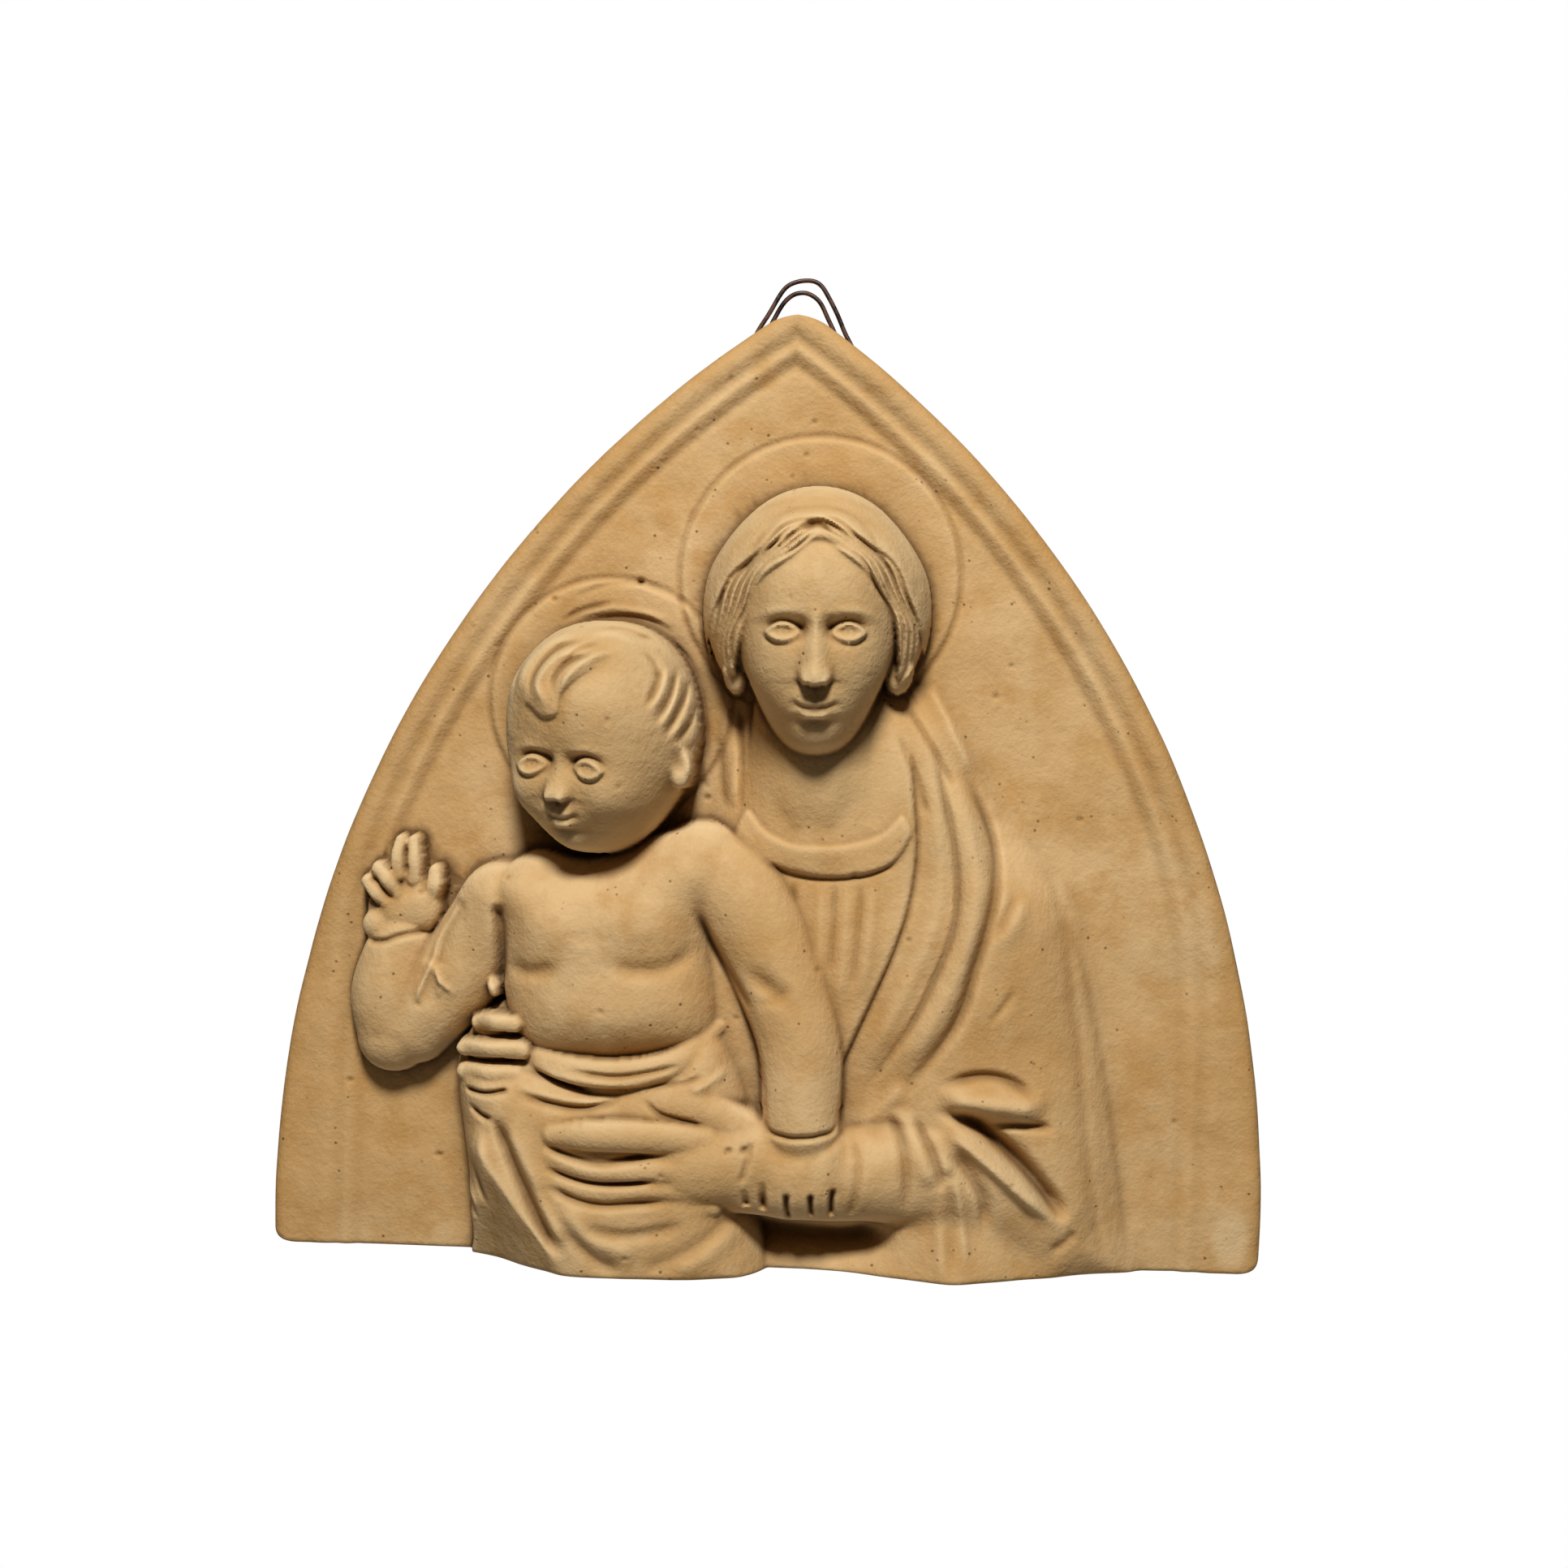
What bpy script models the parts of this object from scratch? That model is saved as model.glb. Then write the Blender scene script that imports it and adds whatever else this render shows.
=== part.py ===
"""Decorative wall plaque: a pointed-arch terracotta relief of a mother and child, with its hanging wire."""

import math

import bpy
import bmesh
import numpy as np
from mathutils import Vector

# Driving dimensions, in metres.
PLAQUE_WIDTH = 0.300
PLAQUE_HEIGHT = 0.2845
PLATE_THICKNESS = 0.015
RELIEF_DEPTH = 0.046
EDGE_ROUND = 0.0035
FOOT_ROUND = 0.0018
CORNER_ROUND = 0.0045
WIRE_DIAMETER = 0.0014
WIRE_SPAN = 0.0298
WIRE_RISE = 0.0121
WIRE_CLEARANCE = 0.0003
OUTER_STRAND_DEPTH = 0.0078
INNER_STRAND_DEPTH = 0.0051
NAIL_DIAMETER = 0.0025

# Fineness of the raster that is carved, of the mesh laid over it and of the finished solids.
RASTER_STEP = 0.0007
MESH_STEP = 0.0011
PLAQUE_TRIANGLES = 7600
WIRE_SIDES = 8
FLAT_WITHIN = 0.0004

# The wire's points were drawn at this span and rise, in millimetres.
WIRE_DRAWN_SPAN = 29.8
WIRE_DRAWN_RISE = 12.1

# The relief is carved on a drawing of the plaque at this size, in millimetres,
# and then stretched to the driving dimensions.
WIDTH = 300.0
TALL = 284.5
ARC = 326.0
ARC_Z = 13.5
TIP_ROUND = 17.0
TIP_LEAN = 2.7
FIELD = 15.0
RELIEF = 46.0
TIP_BAND = 9.0
NO_CLAY = -50.0
# How far the clay stands out along the foot: (place across, height above the back)
FOOT_LINE = (
    (-91, 18.5), (-80, 24.0), (-71, 32.0), (-63, 38.0), (-55, 44.0), (-41, 47.0), (-20, 42.0),
    (-6, 38.5), (15, 40.5), (50, 40.5), (65, 35.0), (80, 30.0), (95, 22.0), (108, 18.5))


def quarter_round(distance, radius):
    """How far a rounded edge has fallen back at this distance from it."""
    near = radius - np.clip(distance, 0.0, radius)
    return radius - np.sqrt(radius ** 2 - near ** 2)


def tip_lean(z):
    """How far the hand-made arch leans over at this height."""
    return TIP_LEAN * (np.asarray(z, float) / TALL) ** 2


def smooth_max(a, b, k):
    """The larger of the two, with the crease between them rounded over k."""
    t = np.clip(0.5 + 0.5 * (b - a) / k, 0.0, 1.0)
    return a + (b - a) * t + k * t * (1.0 - t)


def smooth_step(t):
    """S-shaped rise from 0 at t = 0 to 1 at t = 1."""
    t = np.clip(t, 0.0, 1.0)
    return t * t * (3.0 - 2.0 * t)


def dome(t):
    """Quarter-round rise from 0 at t = 0 to 1 at t = 1."""
    t = np.clip(t, 0.0, 1.0)
    return np.sqrt(1.0 - (1.0 - t) ** 2)


def bell(t):
    """1 at t = 0, falling away on both sides."""
    return np.exp(-t * t)


def curve(points, per=7, closed=False):
    """Catmull-Rom curve through the points, any number of columns."""
    p = np.asarray(points, float)
    if len(p) < 3 and not closed:
        t = np.linspace(0.0, 1.0, per + 1)[:, None]
        return p[0] * (1 - t) + p[1] * t
    if closed:
        q = np.vstack([p[-1:], p, p[:2]])
    else:
        q = np.vstack([2 * p[:1] - p[1:2], p, 2 * p[-1:] - p[-2:-1]])
    t = (np.arange(per) / per)[:, None]
    out = []
    for i in range(1, len(q) - 2):
        a, b, c, d = q[i - 1], q[i], q[i + 1], q[i + 2]
        second = 2 * a - 5 * b + 4 * c - d
        third = 3 * b - a - 3 * c + d
        out.append(0.5 * (2 * b + (c - a) * t + second * t ** 2 + third * t ** 3))
    if not closed:
        out.append(q[-2:-1])
    return np.vstack(out)


class Clay:
    """A raster of heights above the back plane, in design millimetres."""

    def __init__(self, step):
        self.step = step
        self.x0 = -WIDTH / 2 - 4.0
        self.z0 = -4.0
        nx = int(round((WIDTH + 8.0) / step)) + 1
        nz = int(round((TALL + 10.0) / step)) + 1
        self.x = self.x0 + step * np.arange(nx)
        self.z = self.z0 + step * np.arange(nz)
        self.h = np.full((nz, nx), FIELD)

    def window(self, x_min, x_max, z_min, z_max):
        """A part of the raster, with the places of its points."""
        i0 = max(int((x_min - self.x0) / self.step), 0)
        i1 = min(int((x_max - self.x0) / self.step) + 2, len(self.x))
        j0 = max(int((z_min - self.z0) / self.step), 0)
        j1 = min(int((z_max - self.z0) / self.step) + 2, len(self.z))
        part = (slice(j0, j1), slice(i0, i1))
        x, z = np.meshgrid(self.x[i0:i1], self.z[j0:j1])
        return part, x, z

    def around(self, points, margin):
        """The part of the raster within this margin of the points."""
        low, high = np.min(points, axis=0) - margin, np.max(points, axis=0) + margin
        return self.window(low[0], high[0], low[1], high[1])

    def near(self, line, x, z):
        """Distance to the line, how far along it, and the side, positive on the left of its run."""
        best = np.full(x.shape, 1e9)
        along = np.zeros(x.shape)
        side = np.zeros(x.shape)
        n = len(line) - 1
        for i in range(n):
            ax, az = line[i][:2]
            bx, bz = line[i + 1][:2]
            ux, uz = bx - ax, bz - az
            length = ux * ux + uz * uz + 1e-12
            t = np.clip(((x - ax) * ux + (z - az) * uz) / length, 0.0, 1.0)
            dx, dz = x - ax - t * ux, z - az - t * uz
            d = dx * dx + dz * dz
            m = d < best
            best = np.where(m, d, best)
            along = np.where(m, (i + t) / n, along)
            side = np.where(m, ux * dz - uz * dx, side)
        return np.sqrt(best), along, np.sign(side)

    def mark(self, points, width, rise, ends=0.25, sharp=1.0, lean=0.0):
        """A soft ridge (rise over 0) or groove (under 0) along a curve, fading out over its ends."""
        line = curve(points)
        part, x, z = self.around(line, 3.0 * width)
        d, t, side = self.near(line, x, z)
        w = width * np.where(side > 0, 1.0 + lean, 1.0 - lean)
        fade = smooth_step(t / ends) * smooth_step((1.0 - t) / ends) if ends else 1.0
        self.h[part] += rise * fade * np.exp(-np.abs(d / w) ** (2.0 * sharp))

    def step_edge(self, points, width, rise, reach, ends=0.2):
        """The side on the left of the run stands higher by rise, and falls back over reach."""
        line = curve(points)
        part, x, z = self.around(line, reach)
        d, t, side = self.near(line, x, z)
        fade = smooth_step(t / ends) * smooth_step((1.0 - t) / ends) if ends else 1.0
        left = dome(d / width) * (1.0 - smooth_step((d - width) / max(reach - width, 1e-6)))
        self.h[part] += rise * fade * np.where(side > 0, left, -0.35 * bell(d / (0.6 * width)))

    def tube(self, points, heights, radii, blend=1.5, flat=1.0, per=10):
        """A round limb: points with the height of its axis and its radius at each."""
        line = curve(np.c_[np.asarray(points, float), heights, radii], per)
        part, x, z = self.around(line, np.max(radii) + 2 * blend)
        d, t, _ = self.near(line, x, z)
        share = np.linspace(0.0, 1.0, len(line))
        axis, r = np.interp(t, share, line[:, 2]), np.interp(t, share, line[:, 3])
        top = np.where(d < r, axis + flat * np.sqrt(np.maximum(r * r - d * d, 0.0)), NO_CLAY)
        self.h[part] = smooth_max(self.h[part], top, blend)

    def ball(self, centre, height, size, turn=0.0, blend=1.5):
        """An ellipsoid: size is (half width, half height, half depth), height that of its middle."""
        (cx, cz), (a, b, c) = centre, size
        r = max(a, b)
        part, x, z = self.window(cx - r, cx + r, cz - r, cz + r)
        ca, sa = np.cos(np.radians(turn)), np.sin(np.radians(turn))
        u = ((x - cx) * ca + (z - cz) * sa) / a
        v = (-(x - cx) * sa + (z - cz) * ca) / b
        inside = 1.0 - u * u - v * v
        top = np.where(inside > 0, height + c * np.sqrt(np.maximum(inside, 0)), NO_CLAY)
        self.h[part] = smooth_max(self.h[part], top, blend)

    def bump(self, centre, size, rise, turn=0.0):
        """A soft swelling or hollow added to what is there."""
        (cx, cz), (a, b) = centre, size
        r = 2.6 * max(a, b)
        part, x, z = self.window(cx - r, cx + r, cz - r, cz + r)
        ca, sa = np.cos(np.radians(turn)), np.sin(np.radians(turn))
        u = ((x - cx) * ca + (z - cz) * sa) / a
        v = (-(x - cx) * sa + (z - cz) * ca) / b
        self.h[part] += rise * np.exp(-u * u - v * v)

    def inside(self, outline, x, z):
        """Which points lie within a closed outline."""
        odd = np.zeros(x.shape, bool)
        n = len(outline)
        for i in range(n):
            ax, az = outline[i]
            bx, bz = outline[(i + 1) % n]
            if az == bz:
                continue
            crosses = (az > z) != (bz > z)
            odd ^= crosses & (x < (bx - ax) * (z - az) / (bz - az) + ax)
        return odd

    def depth_in(self, outline, margin=2.0, rounded=True):
        """Distance inwards from a closed outline, negative outside, over its window."""
        line = curve(outline, 5, closed=True) if rounded else np.asarray(outline, float)
        part, x, z = self.around(line, margin)
        d, _, _ = self.near(np.vstack([line, line[:1]]), x, z)
        return part, x, z, np.where(self.inside(line, x, z), d, -d)

    def slab(self, outline, low, high, round_off, blend=1.0, soft=2.0, sloped=False):
        """A mass with the given outline, rising from low at its edge to high over round_off."""
        part, x, z, d = self.depth_in(outline, 6.0)
        t = np.where(d > 0, self.blur(soft, d), d) / round_off
        t = np.clip(np.maximum(t, 0.12 * d / round_off), 0.0, 1.0)
        rise = np.sin(0.5 * np.pi * t) if sloped else dome(t)
        top = np.where(d > 0, low + (high - low) * rise, NO_CLAY)
        self.h[part] = smooth_max(self.h[part], top, blend)

    def sample(self, x, z, field=None):
        """The height, or another field's value, at any points of the drawing."""
        i = np.clip((x - self.x0) / self.step, 0, len(self.x) - 1.001)
        j = np.clip((z - self.z0) / self.step, 0, len(self.z) - 1.001)
        a, b = i.astype(int), j.astype(int)
        u, v = i - a, j - b
        h = self.h if field is None else field
        low = h[b, a] * (1 - u) + h[b, a + 1] * u
        high = h[b + 1, a] * (1 - u) + h[b + 1, a + 1] * u
        return low * (1 - v) + high * v

    def blur(self, radius, field=None):
        """The heights, or another field, softened over this radius."""
        a = self.h if field is None else field
        n = max(int(3 * radius / self.step), 1)
        k = np.exp(-0.5 * (np.arange(-n, n + 1) * self.step / radius) ** 2)
        k /= k.sum()
        for axis in (0, 1):
            pad = [(n, n) if i == axis else (0, 0) for i in (0, 1)]
            b = np.pad(a, pad, mode="edge")
            out = np.zeros_like(a)
            for i, w in enumerate(k):
                out += w * (b[i:i + a.shape[0], :] if axis == 0 else b[:, i:i + a.shape[1]])
            a = out
        return a


def face_radius(dx, dy, dz, child):
    """Distance from the head's middle to its surface, in head heights, by the usual shares of a face."""
    wide, deep, tall, taper = (0.400, 0.43, 0.5, 0.16) if child else (0.335, 0.42, 0.5, 0.24)
    w = wide * (1.0 - taper * smooth_step(-dz / 0.95))
    p = 2.25
    r = (np.abs(dx / w) ** p + np.abs(dy / deep) ** p + np.abs(dz / tall) ** p) ** (-1.0 / p)
    a, c = dx * r, dz * r
    s = np.abs(a)
    if child:
        eye, brow, base, mouth, chin = -0.085, -0.005, -0.205, -0.288, -0.405
        gap, half, open_, lip_w, socket = 0.134, 0.064, 0.027, 0.064, 0.036
        nose_low, nose_high, wing, cheek = 0.0, 0.034, 0.034, 0.046
    else:
        eye, brow, base, mouth, chin = 0.0, 0.080, -0.180, -0.278, -0.410
        gap, half, open_, lip_w, socket = 0.132, 0.065, 0.026, 0.082, 0.048
        nose_low, nose_high, wing, cheek = 0.018, 0.066, 0.042, 0.022
    add = -0.030 * bell(a / 0.26) * bell((c + 0.10) / 0.20)
    # eye hollows, deepest beside the nose, under a crisp brow
    add -= socket * bell((s - 0.108) / 0.080) * bell((c - eye - 0.016) / 0.050)
    add -= 0.5 * socket * bell((s - 0.064) / 0.030) * bell((c - eye - 0.018) / 0.040)
    arc = brow - 1.6 * (s - 0.12) ** 2
    add += 0.30 * socket * smooth_step(s / 0.06) * bell((s - 0.13) / 0.09) * bell((c - arc) / 0.022)
    # eyeball, lids, and the ring of the iris
    ex = (s - gap) / half
    lens = np.clip(1.0 - ex * ex, 0.0, 1.0)
    add += 0.034 * np.sqrt(np.clip(1.0 - ex * ex - ((c - eye) / 0.046) ** 2, 0.0, 1.0))
    on = smooth_step((1.18 - np.abs(ex)) / 0.30)
    upper, lower = eye + 1.25 * open_ * lens, eye - 0.85 * open_ * lens
    add += 0.015 * on * bell((c - upper) / 0.0105)
    add -= 0.013 * on * bell((c - upper - 0.024) / 0.0105)
    add += 0.010 * on * bell((c - lower) / 0.0100)
    add -= 0.006 * on * bell((c - lower + 0.020) / 0.0110)
    round_ = np.hypot(s - gap, c - eye - 0.003)
    add -= 0.0090 * bell((round_ - 0.0205) / 0.0070) + 0.013 * bell(round_ / 0.0085)
    # nose: a ridge that widens downwards, a round tip, wings and nostrils
    t = np.clip((brow - 0.015 - c) / (brow - 0.015 - base), 0.0, 1.2)
    under = 1.0 - smooth_step((base + 0.008 - c) / 0.026)
    ridge = (nose_low + (nose_high - nose_low) * t ** 1.4) * smooth_step((brow + 0.05 - c) / 0.09)
    add += under * ridge * bell(a / (0.034 + 0.016 * t))
    add += under * 0.018 * t * bell(a / 0.085)
    add += under * 0.030 * bell(a / 0.038) * bell((c - base - 0.032) / 0.032)
    add += under * 0.030 * bell((s - wing) / 0.019) * bell((c - base - 0.022) / 0.024)
    add -= 0.022 * bell((s - 0.5 * wing) / 0.014) * bell((c - base + 0.004) / 0.011)
    add -= 0.008 * bell((s - wing - 0.026) / 0.014) * bell((c - base - 0.010) / 0.030)
    # mouth: the swell behind it, two lips, the parting line, its corners and the hollow below
    add += 0.026 * bell(a / 0.11) * bell((c - mouth) / 0.065)
    bow = mouth + 0.020 - 0.007 * bell(a / 0.012) - 0.9 * a * a
    add += 0.016 * smooth_step((1.0 - s / lip_w) / 0.6) * bell((c - bow) / 0.0165)
    add += 0.022 * smooth_step((0.90 - s / lip_w) / 0.6) * bell((c - mouth + 0.024) / 0.0200)
    add -= 0.017 * smooth_step((1.10 - s / lip_w) / 0.5) * bell((c - mouth - 0.04 * s) / 0.0105)
    add -= 0.010 * bell((s - lip_w) / 0.018) * bell((c - mouth - 0.003) / 0.016)
    add -= 0.007 * bell(a / 0.012) * bell((c - mouth - 0.058) / 0.020)
    add -= 0.018 * bell(a / 0.075) * bell((c - mouth + 0.062) / 0.022)
    # chin, cheeks and forehead
    add += 0.030 * bell(a / 0.085) * bell((c - chin) / 0.055)
    add += cheek * bell((s - 0.19) / 0.10) * bell((c - base - 0.010) / 0.11)
    add += (0.022 if child else 0.008) * bell(a / 0.30) * bell((c - 0.2) / 0.16)
    return r + add * smooth_step((dy + 0.1) / 0.5)


def head(clay, centre, height, tall, yaw, pitch, roll, child, blend=1.0):
    """Finds the height of a turned head over each raster point by stepping down onto it."""
    cx, cz = centre
    reach = 0.56 * tall
    part, x, z = clay.window(cx - reach, cx + reach, cz - reach, cz + reach)
    a, b, c = np.radians([yaw, pitch, roll])
    turn = np.array([[np.cos(a), -np.sin(a), 0], [np.sin(a), np.cos(a), 0], [0, 0, 1]])
    nod = np.array([[1, 0, 0], [0, np.cos(b), -np.sin(b)], [0, np.sin(b), np.cos(b)]])
    lean = np.array([[np.cos(c), 0, np.sin(c)], [0, 1, 0], [-np.sin(c), 0, np.cos(c)]])
    m = lean @ turn @ nod
    near = np.hypot(x - cx, z - cz) < reach
    u, v = (x[near] - cx) / tall, (z[near] - cz) / tall

    def outside(level):
        p = [m[0, i] * u + m[1, i] * level + m[2, i] * v for i in range(3)]
        n = np.sqrt(p[0] ** 2 + p[1] ** 2 + p[2] ** 2) + 1e-9
        return n > face_radius(p[0] / n, p[1] / n, p[2] / n, child)

    low = np.full(u.shape, 0.60)
    found = np.zeros(u.shape, bool)
    stride = 0.014
    for _ in range(42):
        found |= ~outside(low)
        low = np.where(found, low, low - stride)
    high = low + stride
    for _ in range(7):
        middle = 0.5 * (low + high)
        out = outside(middle)
        high, low = np.where(out, middle, high), np.where(out, low, middle)
    top = np.full(x.shape, NO_CLAY)
    top[near] = np.where(found, height + low * tall, NO_CLAY)
    clay.h[part] = smooth_max(clay.h[part], top, blend)


def arch_inset(x, z):
    """Distance inwards from the arch's outline."""
    off = np.abs(x - tip_lean(z))
    return ARC - np.hypot(off + ARC - WIDTH / 2, z - ARC_Z), off


def border(c):
    """A roll, a soft groove and an inner fillet all round the arch, fading towards the foot."""
    x, z = np.meshgrid(c.x, c.z)
    inset, off = arch_inset(x, z)
    # near the foot the mouldings run straight down
    upright = WIDTH / 2 - 10.7 - off
    run = inset - 4.0 * np.log1p(np.exp((inset - upright) / 4.0))
    fade = 0.42 + 0.58 * smooth_step((z - 60.0) / 110.0)
    c.h += fade * 2.3 * (1.0 - smooth_step((run - 10.5) / 4.6))
    c.h += fade * (0.7 * bell((run - 4.4) / 3.2) - 1.1 * bell((run - 8.6) / 2.4))
    c.h -= fade * 0.35 * bell((run - 15.4) / 1.4)


def haloes(c):
    """A thin raised disc behind each head."""
    x, z = np.meshgrid(c.x, c.z)
    for (hx, hz), radius in (((11.5, 206.5), 41.5), ((-50.5, 168), 36.0)):
        d = np.hypot(x - hx, z - hz)
        c.h += 0.8 * smooth_step((radius - d) / 2.4 + 0.5) * (0.35 + 0.65 * (d / radius) ** 2)
        c.h -= 0.7 * bell((d - radius - 1.0) / 0.9)
    c.mark([(-64, 198), (-53, 202.5), (-42, 203), (-32, 199)], 0.9, -0.6)


def mantle(c):
    """The mother's body under her mantle, with its outer fall."""
    c.slab(
        [(-12.5, 160), (-25, 123.5), (-74, 61.5), (-92.5, 43.5), (-88.5, 2.5), (-86.5, -86),
            (114.5, -78.5), (109.5, 19), (102, 69.5), (90.5, 112), (68, 138), (52.5, 169),
            (9.5, 184.5)],
        14.4, 26.0, 22.0, 1.5, 3.0, True)
    for spot, size, rise in (
        ((19.5, 91.5), (34.0, 40.0), 5.5),
        ((60.5, 78), (30.0, 45.0), 6.0),
        ((59.5, 33), (34.0, 22.0), 4.5),
        ((76.5, 107.5), (14.0, 18.0), 2.0),
        ((79, 18.5), (16.0, 24.0), 3.0),
    ):
        c.bump(spot, size, rise)
    c.mark([(103.5, -3.5), (97.5, 23), (92.5, 66.5), (85.5, 110.5), (77.5, 124)], 2.2, -0.9, 0.2)
    c.mark([(110, -2.5), (108, 18), (102, 54.5), (94, 90.5), (84, 115.5)], 1.8, -0.9, 0.25)
    # creases of the shoulder and the upper arm
    c.mark([(73, 116), (68.5, 107), (63.5, 99)], 1.6, -1.3, 0.35)
    c.mark([(75.5, 115.5), (71.5, 106), (66, 96)], 2.6, 1.0, 0.35)
    c.mark([(72.5, 87.5), (69, 81.5), (64, 75)], 1.2, -0.9, 0.4)
    c.mark([(68.5, 138.5), (74, 128.5), (77, 119.5)], 3.5, 0.8, 0.4)


def neck_and_collar(c):
    """The mother's neck, the band of her collar and the pleats below it."""
    c.tube([(11, 165.5), (11, 146.5), (11.5, 129.5)], [16, 13.0, 9.0], [18.5, 20.0, 22.0], 4.0)
    c.bump((11, 131.5), (10.0, 5.0), -0.8)
    c.mark([(-2, 142.5), (4.5, 133), (9, 129.5)], 2.6, -0.5)
    c.mark([(24, 144), (19, 134), (14.5, 129.5)], 2.6, -0.5)
    part, _, _, d = c.depth_in(
        [(-8.5, 136.5), (-2.5, 131), (5.5, 127.5), (13.5, 127), (23, 128), (31.5, 131), (37.5, 136.5),
            (40.5, 130.5), (32.5, 120.5), (14, 117.5), (-4.5, 122), (-12, 126.5)])
    c.h[part] += 2.0 * dome(d / 2.2) * (d > 0)
    c.mark([(-11.5, 126), (-4, 121.5), (5, 118), (16.5, 117), (28, 118.5), (38, 123)], 0.8, -0.9, 0.1)
    # pleats below the collar
    for x, drift, low, width, rise in (
        (6.5, 0.7, 90.0, 1.0, -1.2), (14.8, -0.6, 84.0, 2.0, 1.1), (18.6, -0.9, 88.0, 0.9, -0.9),
        (22.4, -2.1, 78.0, 2.0, 1.1), (26.2, -2.0, 84.0, 0.9, -0.9), (29.7, -2.8, 82.0, 1.8, 1.0),
    ):
        c.mark([(x, 118.0), (x + 0.4 * drift, 0.5 * (118.0 + low)), (x + drift, low)], width, rise)


def veil_falls(c):
    """The veil hanging beside the neck, and the mantle crossing her breast."""
    hem = [(39, 161.5), (41.5, 138), (42, 123.5), (40, 109), (35.5, 95), (29.5, 80.5), (22.5, 63.5),
        (18.5, 49)]
    c.step_edge(hem[::-1], 2.2, 2.6, 40.0, 0.12)
    for width, rise, line in (
        (3.0, 1.6, [(43.5, 168.5), (46.5, 147.5), (49, 128.5), (49, 112), (45.5, 97.5), (39, 83),
            (32, 68.5), (25.5, 56.5)]),
        (1.1, -2.0, [(46, 161.5), (50, 143), (53.5, 126.5), (54.5, 113), (53, 101.5), (48, 88),
            (41, 73.5), (25.5, 49.5)]),
        (4.2, 3.4, [(51, 154.5), (56.5, 138), (59.5, 124), (59.5, 112), (57, 98), (51, 82), (44, 69),
            (36, 57)]),
        (1.7, -3.4, [(53.5, 154.5), (61.5, 138.5), (65.5, 126.5), (65.5, 114.5), (63, 102.5), (60, 92),
            (54, 74), (35, 48)]),
        (1.5, 1.6, [(44.5, 175.5), (50, 166.5), (54, 158), (59.5, 147.5)]),
        (1.1, -1.5, [(39, 168), (46, 157), (54, 144)]),
        (1.2, -1.2, [(35.5, 161.5), (42, 146.5), (45, 135.5)]),
        # the strip on the other side of the neck
        (3.0, 1.7, [(-15, 167.5), (-13.5, 153), (-12, 136)]),
        (1.0, -1.5, [(-11.5, 169), (-10.5, 153), (-10, 134)]),
        (1.2, -0.9, [(-17.5, 160), (-16.5, 148), (-15, 136)]),
    ):
        c.mark(line, width, rise, 0.2)


def sleeve(c):
    """Her left forearm in its sleeve, the leaf-shaped folds at the elbow and the hollow under the wrist."""
    c.tube(
        [(83, 20), (61.5, 28.5), (38, 30.5), (14, 29.5), (-6, 30)],
        [14, 18, 24.5, 29, 31.5], [17, 18, 15.5, 13.5, 12.0], 5.0)
    c.slab(
        [(23.5, 39.5), (37.5, 49.5), (58.5, 48), (80.5, 34.5), (95, 13.5), (99, -12.5), (100, -41.5),
            (-7.5, -45.5), (0.5, 3), (19, 18)],
        17.0, 41.0, 58.0, 3.0, 3.0, True)
    for width, rise, lean, line in (
        # upper leaf: dark line over it, rounded body, dark line below
        (1.5, -2.6, 0.0, [(49.5, 57), (61.5, 60.5), (70.5, 59.5), (80.5, 54)]),
        (4.0, 5.2, 0.0, [(49.5, 54), (61, 53.5), (72.5, 52.5), (83.5, 50.5)]),
        (1.3, -2.6, 0.0, [(65, 46), (74.5, 46.5), (85.5, 45.5)]),
        # lower leaf: steep recess on its right, bright ridge on its left
        (2.4, -7.4, 0.30, [(48, 51.5), (60.5, 46.5), (67.5, 41.5), (76.5, 33), (84.5, 23.5),
            (89.5, 17)]),
        (2.8, 3.6, 0.30, [(49.5, 47.5), (60, 40), (68.5, 33), (77, 25.5), (87.5, 17)]),
        # the small leaf and the thin ridges that fan out below it
        (1.9, -3.2, 0.30, [(53.5, 40), (59.5, 32.5), (64, 24.5), (65, 13.5)]),
        (1.3, 1.1, 0.0, [(55, 34.5), (57, 25.5), (58.5, 16.5), (60.5, 1.5)]),
        (1.5, 0.7, 0.0, [(50.5, 24.5), (52, 12.5), (52.5, 0.5)]),
        (1.4, -0.9, 0.0, [(54, 29.5), (55, 17.5), (55.5, 0.5)]),
        (2.6, 2.0, 0.0, [(38, 51.5), (43, 44), (46.5, 36), (49, 27.5)]),
        (1.5, -2.2, 0.0, [(35.5, 48.5), (39.5, 42.5), (41.5, 33), (42, 16.5)]),
        (1.2, -1.8, 0.0, [(43, 49), (47.5, 41), (51, 33), (52, 26.5)]),
        (2.2, 1.7, 0.0, [(48.5, 46), (52, 38.5), (54.5, 31.5)]),
        (1.6, -1.2, 0.0, [(84.5, 8.5), (89, 11.5), (93, 15.5)]),
        (2.6, 1.4, 0.0, [(42, 58.5), (35, 51), (25.5, 43.5)]),
        (1.3, -1.3, 0.0, [(24.5, 45), (27.5, 36), (26.5, 24), (24, 18)]),
    ):
        c.mark(line, width, rise, 0.25, 1.0, lean)
    c.bump((32, 32), (11.0, 11.0), 1.6)
    c.mark([(-12.5, 12.5), (3, 10), (22, 9), (40.5, 12)], 4.4, -11.0, 0.22)


def trim_foot(c):
    """Draws the clay back towards the foot, where the figures' lower edge sinks into the ground."""
    x, z = np.meshgrid(c.x, c.z)
    run = curve(FOOT_LINE, 4)
    limit = np.interp(x, run[:, 0], run[:, 1]) + 0.62 * np.maximum(z, 0.0)
    c.h = -smooth_max(-c.h, -limit, 2.0)


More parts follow.
